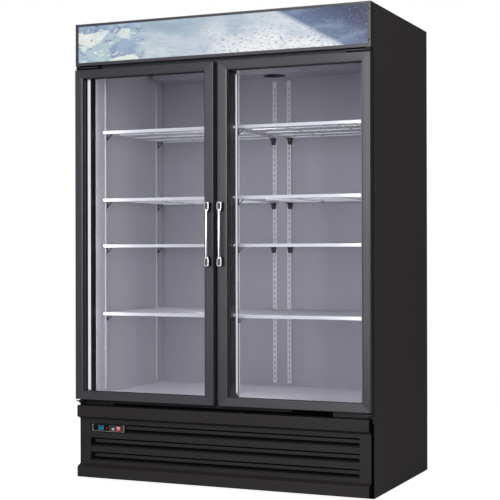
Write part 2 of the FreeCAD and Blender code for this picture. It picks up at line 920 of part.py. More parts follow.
def condenser_coil():
    """Fins on six tubes between two end plates, just behind the grille."""
    low, high = condenser_x
    pieces = []
    for level in (70, 112, 154, 196, 238, 272):
        for y in (85, 115):
            pieces.append(rod((low, y, level), 4.8, high - low, "x"))
    fins = 56
    pitch = (high - low - 2) / (fins - 1)
    for n in range(fins):
        pieces.append(block((low + n * pitch, low + n * pitch + 1), (70, 130), (52, 288)))
    finish("condenser_coil", join(*pieces))


def condenser_shroud():
    """The plate behind the coil that ducts its air through the fan ring, and the motor bracket."""
    low, high = condenser_x
    x, z = condenser_fan_centre
    plate = block((low, high), (132, 134), (tray_top, 290))
    ring = rod((x, 132, z), condenser_fan_radius + 8, 44, "y")
    bore = rod((x, 131, z), condenser_fan_radius + 5, 60, "y")
    foot = block((x - 30, x + 30), (176, 260), (tray_top, tray_top + 3))
    stand = block((x - 22, x + 22), (236, 239), (tray_top, z + 30))
    finish("condenser_shroud", join(cut(join(plate, ring), bore), foot, stand))


def condenser_fan_motor():
    """A shaded-pole motor on the bracket, with the fan's shaft."""
    x, z = condenser_fan_centre
    can = rod((x, 185, z), 32, 51, "y")
    shaft = rod((x, 150, z), 3 - fit, 40, "y")
    finish("condenser_fan_motor", join(can, shaft))


def condenser_fan():
    fan = axial_fan(condenser_fan_radius, 22, 3, 20, 5, 56, 28)
    x, z = condenser_fan_centre
    local_origin[fan.Name] = (x, 176, z)
    finish("condenser_fan", fan, FreeCAD.Rotation(FreeCAD.Vector(1, 0, 0), 90))


def drip_pan():
    """The pan that catches the defrost water, beside the compressor."""
    outer = block((400, 600), (330, 640), (tray_top, 90))
    room = block((402, 598), (332, 638), (tray_top + 2, 91))
    finish("drip_pan", cut(outer, room))


def refrigerant_pipes():
    """Copper lines: hot gas to the condenser, liquid through the drier, suction from the evaporator."""
    x, y = pipe_chase
    hot_gas = pipe_run([(230, 470, 250.2), (230, 470, 280), (-90, 470, 280), (-90, 150, 280)], 3, 12)
    liquid = pipe_run([(-60, 150, 66), (-60, 300, 66), (60, 300, 66)], 3, 12)
    drier = turned([(0, 0), (4, 0), (9, 8), (9, 92), (4, 100), (0, 100)])
    drier.Placement.Rotation = AXIS_TURN["x"]
    place(drier, (60, 300, 66))
    x = x - 10
    suction_route = [(230, 562.2, 150), (230, y, 150), (x, y, 150), (x, y, 1805), (x, 652, 1805)]
    suction = pipe_run(suction_route, 6, 14)
    finish("refrigerant_pipes", group([hot_gas, liquid, drier, suction]))


def drain_tube():
    """A hose from the evaporator's tray down the chase, ending above the drip pan."""
    x, y = pipe_chase
    x = x + 10
    from_tray = [(540, 660, 1794.5), (540, 660, 1775)]
    down_chase = [(x, y, 1775), (x, y, 110), (x, 600, 110), (x, 600, 80)]
    finish("drain_tube", pipe_run(from_tray + down_chase, 6, 8))


inlet_x = 600
inlet_z = 150
vent_rows = 9
vent_columns = 11
vent_pitch = (90, 22)
vent_size = (60, 8)
first_vent = (-550, 70)


def rear_vent_panel():
    """A steel cover with rows of vent slots behind the machine compartment."""
    edge = half - 16
    panel = block((-edge, edge), (depth - 3, depth - 2), (14, compartment_top - 2))
    slots = []
    for row in range(vent_rows):
        for column in range(vent_columns):
            x = first_vent[0] + vent_pitch[0] * column
            z = first_vent[1] + vent_pitch[1] * row
            slots.append(block((x, x + vent_size[0]), (depth - 4, depth), (z, z + vent_size[1])))
    inlet = block((inlet_x - 14, inlet_x + 14), (depth - 6, depth), (inlet_z - 10.5, inlet_z + 10.5))
    finish("rear_vent_panel", cut(panel, *slots, inlet))


def power_inlet():
    """A recessed three-pin appliance inlet in the rear panel."""
    flange = block(around(inlet_x, 25), (depth - 2, depth), around(inlet_z, 13))
    body = block(around(inlet_x, 13.5), (depth - 32, depth - 2), around(inlet_z, 10))
    well = block(around(inlet_x, 12), (depth - 18, depth + 1), around(inlet_z, 8))
    pins = []
    for dx, dz in ((-7, -2), (0, 2), (7, -2)):
        pins.append(block(around(inlet_x + dx, 1), (depth - 19, depth - 3), around(inlet_z + dz, 2)))
    finish("power_inlet", join(cut(join(flange, body), well), *pins))


# ---------------------------------------------------------------- hinges and screws
bracket_thick = 4
leaf_low_top = 338
leaf_high_low = 1778.5


def hinge_brackets():
    """Steel brackets on the front frame, each with the round pin that its door turns on."""
    brackets = []
    for s in (LEFT, RIGHT):
        x = s * hinge_x
        leaf = (s * 640, s * 672)
        forward = (-36, 0)
        flat = (-3, 0)
        low_leaf = block(leaf, forward, (leaf_low_top - bracket_thick, leaf_low_top))
        low_plate = block((s * 503, s * 672), flat, (320, leaf_low_top))
        low_pin = rod((x, -hinge_setback, leaf_low_top - 10), pin_radius - fit, 36)
        screw_x = [s * across for across in bracket_screw_x]
        holes = [rod((across, -4, bracket_screw_level), screw_hole, 5, "y") for across in screw_x]
        knuckle = rod((x, -hinge_setback, leaf_low_top - 10), 9, 7)
        brackets.append(cut(join(low_leaf, low_plate, low_pin, knuckle), *holes))
        high_leaf = block(leaf, forward, (leaf_high_low, leaf_high_low + bracket_thick))
        high_plate = block((s * 572, s * 672), flat, (leaf_high_low, header_bottom - 1))
        high_pin = rod((x, -hinge_setback, leaf_high_low - 24), pin_radius - fit, 32)
        brackets.append(join(high_leaf, high_plate, high_pin))
    finish("hinge_brackets", group(brackets))


def screw(x, y, z, head):
    """A button-head screw that points to the back, its shank behind its head."""
    return join(rod((x, y - 2, z), head, 2, "y"), rod((x, y - 0.5, z), 1.5, 14, "y"))


def case_screws():
    """Button-head screws of the header's end caps and the hinge brackets."""
    screws = []
    for s in (LEFT, RIGHT):
        for level in header_screw_levels:
            screws.append(screw(s * header_screw_x, -header_reach, level, 3.5))
        for across in bracket_screw_x:
            screws.append(screw(s * across, -3, bracket_screw_level, 4.5))
    finish("case_screws", group(screws))


# ---------------------------------------------------------------- doors
pane_pocket = 12
pane_gap = 0.5
front_pane = (-37, -33)
back_pane = (-23, -19)
bush_radius = 7
bush_length = 22


def door_edges(side):
    """The door's outer and inner X limits on its hinge side and handle side."""
    return side * half, side * (door_gap / 2)


def mitred_frame(side, x_hinge, x_handle, low, high, widths, y_low, y_high):
    """Four bars with mitred ends; widths are those of the hinge side, handle side and rails."""
    at_hinge, at_handle, rail = widths
    inner_hinge = x_hinge - side * at_hinge
    inner_handle = x_handle + side * at_handle
    upper = high - rail
    lower = low + rail
    corners = {
        "hinge": [(x_hinge, low), (x_hinge, high), (inner_hinge, upper), (inner_hinge, lower)],
        "handle": [(x_handle, low), (x_handle, high), (inner_handle, upper), (inner_handle, lower)],
        "top": [(x_hinge, high), (x_handle, high), (inner_handle, upper), (inner_hinge, upper)],
        "bottom": [(x_hinge, low), (x_handle, low), (inner_handle, lower), (inner_hinge, lower)],
    }
    return {name: prism("XZ", points, y_low, y_high) for name, points in corners.items()}


def door_frame(name, side):
    """Four mitred rails with a pocket for the glass and a bored seat for each hinge bush."""
    x_hinge, x_handle = door_edges(side)
    widths = (hinge_stile, handle_stile, door_rail)
    bars = mitred_frame(side, x_hinge, x_handle, door_bottom, door_top, widths, -door_front, -door_back)
    inward = pane_pocket + pane_gap
    pocket = block(
        (x_hinge - side * (hinge_stile - inward), x_handle + side * (handle_stile - inward)),
        (front_pane[0], back_pane[1]),
        (door_bottom + door_rail - inward, door_top - door_rail + inward),
    )
    axis_x = side * hinge_x
    seats = [
        rod((axis_x, -hinge_setback, door_bottom - 1), bush_radius, bush_length + 1),
        rod((axis_x, -hinge_setback, door_top - bush_length), bush_radius, bush_length + 1),
    ]
    finish(f"{name}_frame", group([cut(bar, pocket, *seats) for bar in bars.values()]))


def door_bushes(name, side):
    """Bored bushes in the door's top and bottom corners; the lower one holds the closer spring."""
    axis_x = side * hinge_x
    bushes = []
    for low in (door_bottom, door_top - bush_length):
        bushes.append(tube((axis_x, -hinge_setback, low), bush_radius, pin_radius, bush_length))
    finish(f"{name}_hinge_bushes", group(bushes))


def pane_limits(side):
    x_hinge, x_handle = door_edges(side)
    at_hinge = x_hinge - side * (hinge_stile - pane_pocket)
    at_handle = x_handle + side * (handle_stile - pane_pocket)
    across = (at_hinge, at_handle)
    up = (door_bottom + door_rail - pane_pocket, door_top - door_rail + pane_pocket)
    return across, up


def door_glass(name, side):
    """Two panes of a sealed double-glazed unit."""
    across, up = pane_limits(side)
    panes = [block(across, front_pane, up), block(across, back_pane, up)]
    finish(f"{name}_glass", group(panes))


def door_spacer(name, side):
    """The bar that holds the two panes apart, filling the edge of the unit."""
    (x_hinge, x_handle), (low, high) = pane_limits(side)
    widths = (14, 14, 14)
    front = number(front_pane[1])
    back = number(back_pane[0])
    bars = mitred_frame(side, x_hinge, x_handle, low, high, widths, front, back)
    finish(f"{name}_spacer", group(list(bars.values())))


def door_gasket(name, side):
    """Four lengths of magnetic gasket, mitred at the corners, behind the door."""
    x_hinge = side * 653
    x_handle = side * 14
    widths = (12, 12, 12)
    low = number(356)
    high = number(1766)
    bars = mitred_frame(side, x_hinge, x_handle, low, high, widths, -door_back, number(-0.4))
    finish(f"{name}_gasket", group(list(bars.values())))


handle_x = 29
handle_low = 924
handle_high = 1190
bar_low = 962
bar_high = 1153


def door_handle(name, side):
    """A chrome bar between two end posts that stand on the handle stile."""
    x = side * handle_x
    post_front = -72
    deep = (post_front, -door_front)
    posts = [
        block(around(x, 10.5), deep, (handle_low, bar_low)),
        block(around(x, 10.5), deep, (bar_high, handle_high)),
    ]
    lap = 6
    bar = block(around(x, 6), (-handle_reach, -66), (bar_low - lap, bar_high + lap))
    lower_lap = block(around(x, 7), (post_front, -60), (bar_low - lap - 1, bar_low))
    upper_lap = block(around(x, 7), (post_front, -60), (bar_high, bar_high + lap + 1))
    finish(f"{name}_handle", group(posts + [cut(bar, lower_lap, upper_lap)]))


def door(name, side):
    door_frame(name, side)
    door_glass(name, side)
    door_spacer(name, side)
    door_gasket(name, side)
    door_handle(name, side)
    door_bushes(name, side)


# ---------------------------------------------------------------- build, check and write
def build_all():
    side_panel("side_panel_left", LEFT)
    side_panel("side_panel_right", RIGHT)
    top_panel()
    rear_panel()
    foam_insulation()
    liner_panels()
    front_frame()
    breaker_strips()
    mullion()
    header_frame()
    header_end_caps()
    sign_panel()
    header_light_box()
    header_lamp()
    led_lamps()
    shelf_pilasters()
    shelf_clips()
    wire_shelves()
    evaporator_cover()
    evaporator_coil()
    evaporator_fan_frame()
    evaporator_fan_guard()
    evaporator_fan()
    front_grille()
    controller_housing()
    controller_display()
    for label in rockers:
        rocker(label)
    set_button()
    base_frame()
    for label in foot_places:
        levelling_foot(label)
    compressor()
    condenser_coil()
    condenser_shroud()
    condenser_fan_motor()
    condenser_fan()
    drip_pan()
    refrigerant_pipes()
    drain_tube()
    rear_vent_panel()
    power_inlet()
    hinge_brackets()
    case_screws()
    door("left_door", LEFT)
    door("right_door", RIGHT)


def check_all():
    """Stops if any object failed or any sub-part has no valid solid."""
    for thing in document.Objects:
        if "Invalid" in thing.State or "Error" in thing.State:
            raise RuntimeError(f"{thing.Label} did not build: {thing.State}")
    for label, thing in finished.items():
        if thing.Shape.isNull() or not thing.Shape.isValid() or not thing.Shape.Solids:
            raise RuntimeError(f"{label} has no valid solid")


def write_all():
    os.makedirs("parts", exist_ok=True)
    for label, thing in finished.items():
        thing.Shape.exportStep(f"parts/{label}.step")


build_all()
document.recompute()
check_all()
write_all()
print(len(finished), "sub-parts written")
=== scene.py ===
import json
import math

import bmesh
import bpy
from mathutils import Matrix, Vector


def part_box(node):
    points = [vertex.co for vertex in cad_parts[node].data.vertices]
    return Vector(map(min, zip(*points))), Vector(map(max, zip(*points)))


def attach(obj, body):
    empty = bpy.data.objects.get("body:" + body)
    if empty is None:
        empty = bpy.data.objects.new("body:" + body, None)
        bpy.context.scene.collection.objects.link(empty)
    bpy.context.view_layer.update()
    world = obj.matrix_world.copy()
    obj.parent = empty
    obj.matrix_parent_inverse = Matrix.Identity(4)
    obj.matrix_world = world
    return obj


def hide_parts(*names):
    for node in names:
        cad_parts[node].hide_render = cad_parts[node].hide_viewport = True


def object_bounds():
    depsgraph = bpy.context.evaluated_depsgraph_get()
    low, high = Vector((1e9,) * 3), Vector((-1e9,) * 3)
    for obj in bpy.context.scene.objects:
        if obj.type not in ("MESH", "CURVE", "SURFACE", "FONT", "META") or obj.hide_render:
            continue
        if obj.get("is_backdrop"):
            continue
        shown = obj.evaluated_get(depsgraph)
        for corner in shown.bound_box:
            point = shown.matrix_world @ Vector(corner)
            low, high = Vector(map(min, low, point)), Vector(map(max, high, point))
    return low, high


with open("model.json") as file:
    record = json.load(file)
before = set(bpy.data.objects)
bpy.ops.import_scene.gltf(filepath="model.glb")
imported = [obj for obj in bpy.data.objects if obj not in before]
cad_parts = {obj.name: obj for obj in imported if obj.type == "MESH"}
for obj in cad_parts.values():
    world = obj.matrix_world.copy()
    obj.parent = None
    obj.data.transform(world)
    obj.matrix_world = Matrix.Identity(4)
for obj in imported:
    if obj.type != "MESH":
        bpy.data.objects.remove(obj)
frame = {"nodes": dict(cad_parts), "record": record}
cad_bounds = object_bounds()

scene = bpy.context.scene
SLOT_OF = {part["node"]: part["material_slot"] for part in frame["record"]["subparts"]}
BODY_OF = {n: body for body, members in frame["record"]["behaviour"]["bodies"].items() for n in members}


# -------------------- materials
def rgb(r, g, b):
    """The linear colour of an sRGB colour given from 0 to 255."""
    parts = [c / 255 for c in (r, g, b)]
    return (*[c / 12.92 if c <= 0.04045 else ((c + 0.055) / 1.055) ** 2.4 for c in parts], 1.0)


class Tree:
    """A short way to write a material's node tree."""

    def __init__(self, name):
        self.material = bpy.data.materials.new(name)
        self.material.use_nodes = True
        self.tree = self.material.node_tree
        self.tree.nodes.clear()
        self.out = self.add("ShaderNodeOutputMaterial")

    def add(self, kind, inputs=None, **settings):
        made = self.tree.nodes.new(kind)
        for key, value in settings.items():
            setattr(made, key, value)
        for key, value in (inputs or {}).items():
            if isinstance(value, bpy.types.NodeSocket):
                self.tree.links.new(value, made.inputs[key])
            else:
                made.inputs[key].default_value = value
        return made

    def place(self, stretch=(1, 1, 1)):
        """Object coordinates, in metres, stretched by axis."""
        coord = self.add("ShaderNodeTexCoord").outputs["Object"]
        return self.add("ShaderNodeMapping", {"Vector": coord, "Scale": stretch}).outputs[0]

    def noise(self, where, scale, detail=3.0, roughness=0.5, distortion=0.0):
        inputs = {"Vector": where, "Scale": scale, "Detail": detail, "Roughness": roughness,
                  "Distortion": distortion}
        return self.add("ShaderNodeTexNoise", inputs).outputs[0]

    def blend(self, factor, low, high):
        return self.add("ShaderNodeMix", {0: factor, 6: low, 7: high}, data_type="RGBA").outputs[2]

    def math(self, operation, a, b=0.0, clamp=False):
        return self.add("ShaderNodeMath", {0: a, 1: b}, operation=operation, use_clamp=clamp).outputs[0]

    def spread(self, value, low, high, from_low=0.3, from_high=0.7):
        inputs = {"Value": value, "From Min": from_low, "From Max": from_high, "To Min": low, "To Max": high}
        return self.add("ShaderNodeMapRange", inputs).outputs[0]

    def turned(self, where, angle, stretch):
        inputs = {"Vector": where, "Rotation": (0, 0, angle), "Scale": stretch}
        return self.add("ShaderNodeMapping", inputs).outputs[0]

    def warp(self, where, scale, share):
        """Coordinates pushed about by a coarse noise, for ragged shapes."""
        inputs = {"Vector": where, "Scale": scale, "Detail": 6.0, "Roughness": 0.6}
        return self.blend(share, where, self.add("ShaderNodeTexNoise", inputs).outputs["Color"])

    def ramp(self, value, stops):
        made = self.add("ShaderNodeValToRGB", {0: value})
        points = made.color_ramp.elements
        for n, (spot, colour) in enumerate(stops):
            point = points[n] if n < 2 else points.new(spot)
            point.position, point.color = spot, rgb(*colour)
        return made.outputs[0]

    def bump(self, height, strength):
        inputs = {"Height": height, "Strength": strength, "Distance": 0.001}
        return self.add("ShaderNodeBump", inputs).outputs[0]

    def show(self, shader):
        self.tree.links.new(shader, self.out.inputs["Surface"])
        return self.material


def shade(colour, share):
    return (*[min(1.0, c * share) for c in colour[:3]], 1.0)


def surface(name, colour, rough, grain=900.0, bump=0.1, tint=0.05, swing=0.05, stretch=(1, 1, 1), along=None,
            **sockets):
    """A solid finish: its colour and gloss vary softly, and a fine grain shows in its bump.
    grain is the fine noise's scale, tint and swing are how far colour and roughness move either way,
    and along is the axis round which an extruded finish's fine lines turn."""
    t = Tree(name)
    where = t.place(stretch)
    cloud = t.noise(where, grain * 0.012, 4.0)
    fine = t.noise(where, grain, 2.0)
    mottle = t.add("ShaderNodeMix", {0: 0.35, 2: cloud, 3: fine}, data_type="FLOAT").outputs[0]
    inputs = {
        "Base Color": t.blend(t.spread(mottle, 0, 1), shade(colour, 1 - tint), shade(colour, 1 + tint)),
        "Roughness": t.spread(mottle, max(0.02, rough - swing), min(1.0, rough + swing)),
        "Normal": t.bump(fine, bump),
    }
    if along:
        inputs["Tangent"] = t.add("ShaderNodeTangent", direction_type="RADIAL", axis=along).outputs[0]
        inputs["Anisotropic"] = 0.7
    names = {"metal": "Metallic", "specular": "Specular IOR Level", "glow": "Emission Strength",
             "glow_colour": "Emission Color"}
    inputs.update({names[key]: value for key, value in sockets.items()})
    return t.show(t.add("ShaderNodeBsdfPrincipled", inputs).outputs[0])


def clear_glass(name):
    """A thin pane: nearly clear, with a weak mirror that follows the angle, and faint smears in its gloss."""
    t = Tree(name)
    where = t.place((1, 1, 0.35))
    smear = t.spread(t.noise(where, 9.0, 5.0), 0.0, 0.035)
    mirror = t.add("ShaderNodeBsdfAnisotropic", {"Color": (1, 1, 1, 1), "Roughness": smear}).outputs[0]
    through = t.add("ShaderNodeBsdfTransparent", {"Color": (0.985, 0.986, 0.989, 1)}).outputs[0]
    share = t.add("ShaderNodeFresnel", {"IOR": 1.07}).outputs[0]
    return t.show(t.add("ShaderNodeMixShader", {0: share, 1: through, 2: mirror}).outputs[0])


def sign_ice(t, flat):
    """Broken ice: tilted facets of blue, grey and white with dark gaps and bright crumbs between them."""
    warped = t.warp(flat, 2.6, 0.16)
    tilted = t.turned(warped, 0.5, (0.75, 1.5, 1))
    cells = t.add("ShaderNodeTexVoronoi", {"Vector": tilted, "Scale": 2.3}).outputs["Color"]
    tone = t.add("ShaderNodeSeparateColor", {0: cells}).outputs[0]
    grain = t.noise(warped, 5.0, 8.0, 0.68)
    mixed = t.math("ADD", t.math("MULTIPLY", tone, 0.62), t.math("MULTIPLY", grain, 0.4))
    facets = t.ramp(mixed, [(0.14, (112, 128, 158)), (0.3, (142, 160, 182)), (0.42, (163, 182, 192)),
                            (0.56, (178, 194, 198)), (0.7, (196, 206, 204)), (0.82, (222, 223, 216))])
    flecks = t.noise(t.turned(warped, 0.3, (0.8, 2.0, 1)), 4.6, 7.0, 0.66, 0.8)
    facets = t.blend(t.spread(flecks, 0, 0.85, 0.57, 0.6), facets, rgb(216, 219, 212))
    return t.blend(t.spread(flecks, 0.75, 0, 0.37, 0.41), facets, rgb(92, 106, 142))


def sign_slope(t, flat):
    """Smooth drifts with soft crests."""
    drift = t.noise(t.turned(t.warp(flat, 0.9, 0.3), 0.42, (0.32, 1.7, 1)), 1.5, 3.0, 0.42)
    fine = t.noise(t.turned(flat, 0.2, (0.5, 2.6, 1)), 7.0, 4.0, 0.6)
    base = t.ramp(drift, [(0.36, (142, 158, 174)), (0.46, (158, 174, 186)), (0.5, (180, 188, 198)),
                          (0.6, (172, 184, 192)), (0.68, (188, 198, 200))])
    return t.blend(t.spread(fine, 0.4, 0, 0.36, 0.5), base, rgb(138, 156, 172))


def sign_snow(t, flat, up):
    """Bright trodden snow with small blue-grey shadows."""
    cloud = t.math("MULTIPLY", t.noise(t.turned(flat, 0.15, (0.5, 1.4, 1)), 1.3, 3.0), 1.1)
    lit = t.spread(t.math("SUBTRACT", cloud, t.math("MULTIPLY", up, 0.3)), 0, 1, 0.18, 0.56)
    base = t.blend(lit, rgb(158, 172, 187), rgb(214, 215, 215))
    speck = t.noise(t.turned(flat, -0.25, (0.8, 2.1, 1)), 12.5, 2.5, 0.5)
    where = t.spread(up, 1.0, 0.3, 0.4, 0.95)
    return t.blend(t.math("MULTIPLY", t.spread(speck, 0, 0.8, 0.55, 0.64), where), base, rgb(128, 146, 168))


def sign_sky(t, flat, beyond):
    """Dusk above the ridge: blue beside the snow, violet further off, with a pale streak of blown snow."""
    base = t.ramp(beyond, [(0.0, (98, 116, 142)), (0.08, (84, 98, 126)), (0.2, (58, 62, 90)),
                           (0.42, (44, 46, 70))])
    plume = t.noise(t.turned(t.warp(flat, 1.4, 0.2), -0.45, (0.5, 1.9, 1)), 2.2, 6.0, 0.6)
    near_ridge = t.spread(beyond, 1, 0.12, 0.04, 0.22)
    streak = t.math("MULTIPLY", t.spread(plume, 0, 0.6, 0.47, 0.62), near_ridge, True)
    sky = t.blend(streak, base, rgb(134, 150, 170))
    flake = t.noise(flat, 21.0, 2.0, 0.5)
    return t.blend(t.spread(flake, 0, 0.5, 0.6, 0.68), sky, rgb(140, 152, 176))


SIGN_ASPECT, RIDGE_FOOT = 8.1, 0.92  # the panel's width over its height, and the ridge's place along it


def sign_graphic(name):
    """The header's printed picture: a generic winter landscape, from broken ice to a snow ridge at dusk."""
    t = Tree(name)
    low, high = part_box("sign_panel")
    coord = t.add("ShaderNodeTexCoord").outputs["Object"]
    split = t.add("ShaderNodeSeparateXYZ", {0: coord})
    along = t.spread(split.outputs[0], 0, 1, low.x, high.x)
    up = t.spread(split.outputs[2], 0, 1, low.z, high.z)
    flat = t.add("ShaderNodeCombineXYZ", {0: t.math("MULTIPLY", along, SIGN_ASPECT), 1: up}).outputs[0]
    ragged = t.math("MULTIPLY", t.math("SUBTRACT", t.noise(flat, 3.0, 6.0, 0.6), 0.5), 0.10)
    moved = t.math("ADD", along, ragged)
    picture = t.blend(t.spread(moved, 0, 1, 0.21, 0.27), sign_ice(t, flat), sign_slope(t, flat))
    picture = t.blend(t.spread(moved, 0, 1, 0.40, 0.54), picture, sign_snow(t, flat, up))
    ridge = t.math("ADD", t.math("MULTIPLY", up, 0.22), t.math("MULTIPLY", ragged, 0.12))
    beyond = t.math("SUBTRACT", t.math("ADD", along, ridge), RIDGE_FOOT)
    soft = t.spread(beyond, 0, 1, -0.012, 0.02)
    picture = t.blend(soft, picture, sign_sky(t, flat, beyond))
    grain = t.noise(coord, 1800.0, 1.0)
    inputs = {"Base Color": picture, "Roughness": t.spread(grain, 0.24, 0.34), "Normal": t.bump(grain, 0.03),
              "Emission Color": picture, "Emission Strength": 0.12, "Specular IOR Level": 0.25}
    return t.show(t.add("ShaderNodeBsdfPrincipled", inputs).outputs[0])


UPRIGHT_LINES, CROSS_LINES = "Z", "X"
FINISH = {
    "black_steel": surface("black_powder_coat", rgb(57, 53, 52), 0.62, 2600, 0.10, 0.06, 0.06, specular=0.1),
    "galvanised_steel": surface("galvanised_sheet", rgb(150, 154, 158), 0.42, 700, 0.05, 0.09, 0.08,
                                metal=0.85),
    "charcoal_frame": surface("charcoal_upright_paint", rgb(51, 48, 56), 0.31, 2200, 0.04, 0.03, 0.04,
                              (1, 1, 0.02), UPRIGHT_LINES, specular=0.6),
    "liner_white": surface("liner_enamel", rgb(204, 203, 209), 0.38, 1400, 0.03, 0.03, 0.06, specular=0.3),
    "foam": surface("foam", rgb(214, 190, 120), 0.9, 500, 0.6, 0.1, 0.05, specular=0.2),
    "black_plastic": surface("black_plastic", rgb(26, 25, 26), 0.5, 1900, 0.12, 0.06, 0.07, specular=0.3),
    "gloss_black": surface("gloss_black", rgb(11, 11, 13), 0.2, 1500, 0.02, 0.05, 0.05, specular=0.38),
    "sign_graphic": sign_graphic("sign_print"),
    "reflector_white": surface("reflector", rgb(228, 229, 232), 0.5, 900, 0.03, 0.02, 0.05),
    "lamp_tube": surface("lamp_tube", rgb(240, 242, 246), 0.3, 600, 0.01, 0.01, 0.03, glow=0.6,
                         glow_colour=rgb(225, 232, 255)),
    "lamp_housing": surface("lamp_housing", rgb(196, 197, 204), 0.4, 1200, 0.03, 0.03, 0.05),
    "led_diffuser": surface("led_diffuser", rgb(150, 150, 155), 0.35, 900, 0.02, 0.02, 0.04, glow=0.72,
                            glow_colour=rgb(232, 231, 242)),
    "zinc_steel": surface("zinc_strip", rgb(190, 190, 195), 0.36, 900, 0.04, 0.05, 0.1, metal=0.15),
    "shelf_white": surface("shelf_enamel", rgb(228, 228, 236), 0.32, 1500, 0.03, 0.02, 0.05, specular=0.5),
    "aluminium": surface("aluminium", rgb(178, 180, 184), 0.36, 1200, 0.04, 0.08, 0.08, metal=0.9),
    "copper": surface("copper_tube", rgb(188, 116, 82), 0.34, 700, 0.04, 0.14, 0.1, metal=0.95),
    "hose": surface("drain_hose", rgb(196, 196, 190), 0.5, 700, 0.05, 0.06, 0.05),
    "display_black": surface("display_window", rgb(9, 9, 11), 0.14, 1500, 0.01, 0.03, 0.04, specular=0.2),
    "red_switch": surface("red_rocker", rgb(190, 44, 56), 0.28, 1500, 0.02, 0.05, 0.05, glow=0.3,
                          glow_colour=rgb(255, 80, 96)),
    "grey_switch": surface("grey_rocker", rgb(176, 176, 174), 0.4, 1500, 0.03, 0.05, 0.05),
    "compressor_black": surface("compressor_enamel", rgb(26, 26, 27), 0.3, 600, 0.06, 0.08, 0.08,
                                specular=0.5),
    "door_glass": clear_glass("clear_glass"),
    "gasket": surface("gasket_vinyl", rgb(30, 30, 31), 0.6, 1600, 0.12, 0.06, 0.06, specular=0.25),
    "chrome": surface("chrome_plate", rgb(238, 239, 241), 0.14, 1100, 0.01, 0.02, 0.03, metal=1.0),
    "foot_rubber": surface("foot_rubber", rgb(28, 28, 28), 0.75, 1300, 0.25, 0.06, 0.05, specular=0.2),
}
# The rails' tone differs from the uprights' charcoal as painted reflection: the rails and uprights catch the
# light differently.
FRAME_RAIL = surface("charcoal_rail_painted_reflection", rgb(58, 56, 61), 0.33, 2200, 0.04, 0.03, 0.04, (0.02, 1, 1),
                     CROSS_LINES, specular=0.6)
# Grey for the set button, and for the handle ends' insets, where it paints the chrome's dark reflection.
INSET_AND_REFLECTION_GREY = surface("handle_inset", rgb(74, 74, 76), 0.4, 1500, 0.05, 0.05, 0.06, specular=0.5)
# A near-black copy of the paints: painted shade on faces turned from the light.
SHADE_EDGE_DARK = surface("painted_shade_edge", rgb(24, 26, 28), 0.5, 1900, 0.05, 0.05, 0.05, specular=0.2)
FRAME_DARK = surface("face_frame_paint", rgb(46, 49, 52), 0.42, 2100, 0.06, 0.04, 0.06, specular=0.35)
# Near-black: the seals' own colour, and painted shade in slots, gaps and under the sill.
SEAL_AND_SHADE_BLACK = surface("seal_black_and_painted_shade", rgb(7, 7, 8), 0.9, 1300, 0.3, 0.08, 0.04, specular=0.02)
CLIP_GREY = surface("clip_coating", rgb(36, 36, 38), 0.5, 1500, 0.06, 0.05, 0.06, specular=0.3)
WIRE_WHITE = surface("wire_enamel", rgb(206, 207, 212), 0.34, 1500, 0.03, 0.02, 0.05, specular=0.4)
GRILLE_BLACK = surface("grille_plastic", rgb(37, 34, 34), 0.48, 2100, 0.12, 0.05, 0.06, specular=0.22)
DIGIT_BLUE = surface("display_digit", rgb(26, 80, 106), 0.4, 900, 0.0, 0.02, 0.02, glow=0.6,
                     glow_colour=rgb(56, 172, 215))
LINER_SIDE = surface("liner_side_enamel", rgb(190, 189, 195), 0.4, 1400, 0.03, 0.03, 0.06, specular=0.3)
# Darker copies of the liner enamel: painted shade on the back wall and the ceiling.
LINER_BACK_SHADE = surface("liner_back_painted_shade", rgb(140, 139, 147), 0.42, 1400, 0.03, 0.03, 0.06, (1, 1, 0.4),
                     specular=0.3)
LINER_CEILING_SHADE = surface("liner_ceiling_painted_shade", rgb(146, 145, 152), 0.42, 1400, 0.03, 0.03, 0.06,
                        specular=0.3)
HEADER_PAINT = surface("header_paint", rgb(67, 65, 71), 0.34, 2200, 0.04, 0.03, 0.04, (0.02, 1, 1),
                       CROSS_LINES, specular=0.6)
SILL_GREY = surface("sill_paint", rgb(31, 34, 36), 0.5, 1900, 0.06, 0.05, 0.06, specular=0.2)
BRACKET_GREY = surface("bracket_paint", rgb(41, 42, 45), 0.45, 1900, 0.06, 0.05, 0.06, specular=0.3)
# Paler than the parts round it: painted light for the shaded gap between the doors.
GAP_COVER_PAINTED_LIGHT = surface("mullion_cover", rgb(84, 80, 92), 0.45, 1900, 0.05, 0.04, 0.05, specular=0.3)
SLOT_SHADE = surface("slot_shade", rgb(17, 16, 16), 0.8, 1300, 0.2, 0.06, 0.05, specular=0.05)
DIGIT_RED = surface("display_dot", rgb(150, 20, 20), 0.4, 900, 0.0, 0.02, 0.02, glow=1.1,
                    glow_colour=rgb(255, 40, 36))
BEZEL_GREY = surface("bezel_edge", rgb(118, 116, 110), 0.4, 1500, 0.02, 0.04, 0.05)
CONTROLLER_GREY = surface("controller_case", rgb(50, 50, 54), 0.4, 1700, 0.05, 0.05, 0.05, specular=0.4)
ROCKER_LENS = surface("rocker_lens", rgb(205, 150, 160), 0.24, 1500, 0.02, 0.03, 0.04, glow=0.2,
                      glow_colour=rgb(255, 170, 180))

for node, body_object in frame["nodes"].items():
    data = body_object.data
    if not data.materials:
        data.materials.append(None)
    for part_slot in body_object.material_slots:
        part_slot.material = FINISH[SLOT_OF[node]]


# -------------------- mesh helpers
WELD = 1e-5  # points nearer than this are one point
BY_THE_SIDES = 0.3  # what lies further than this from the middle is at a side wall


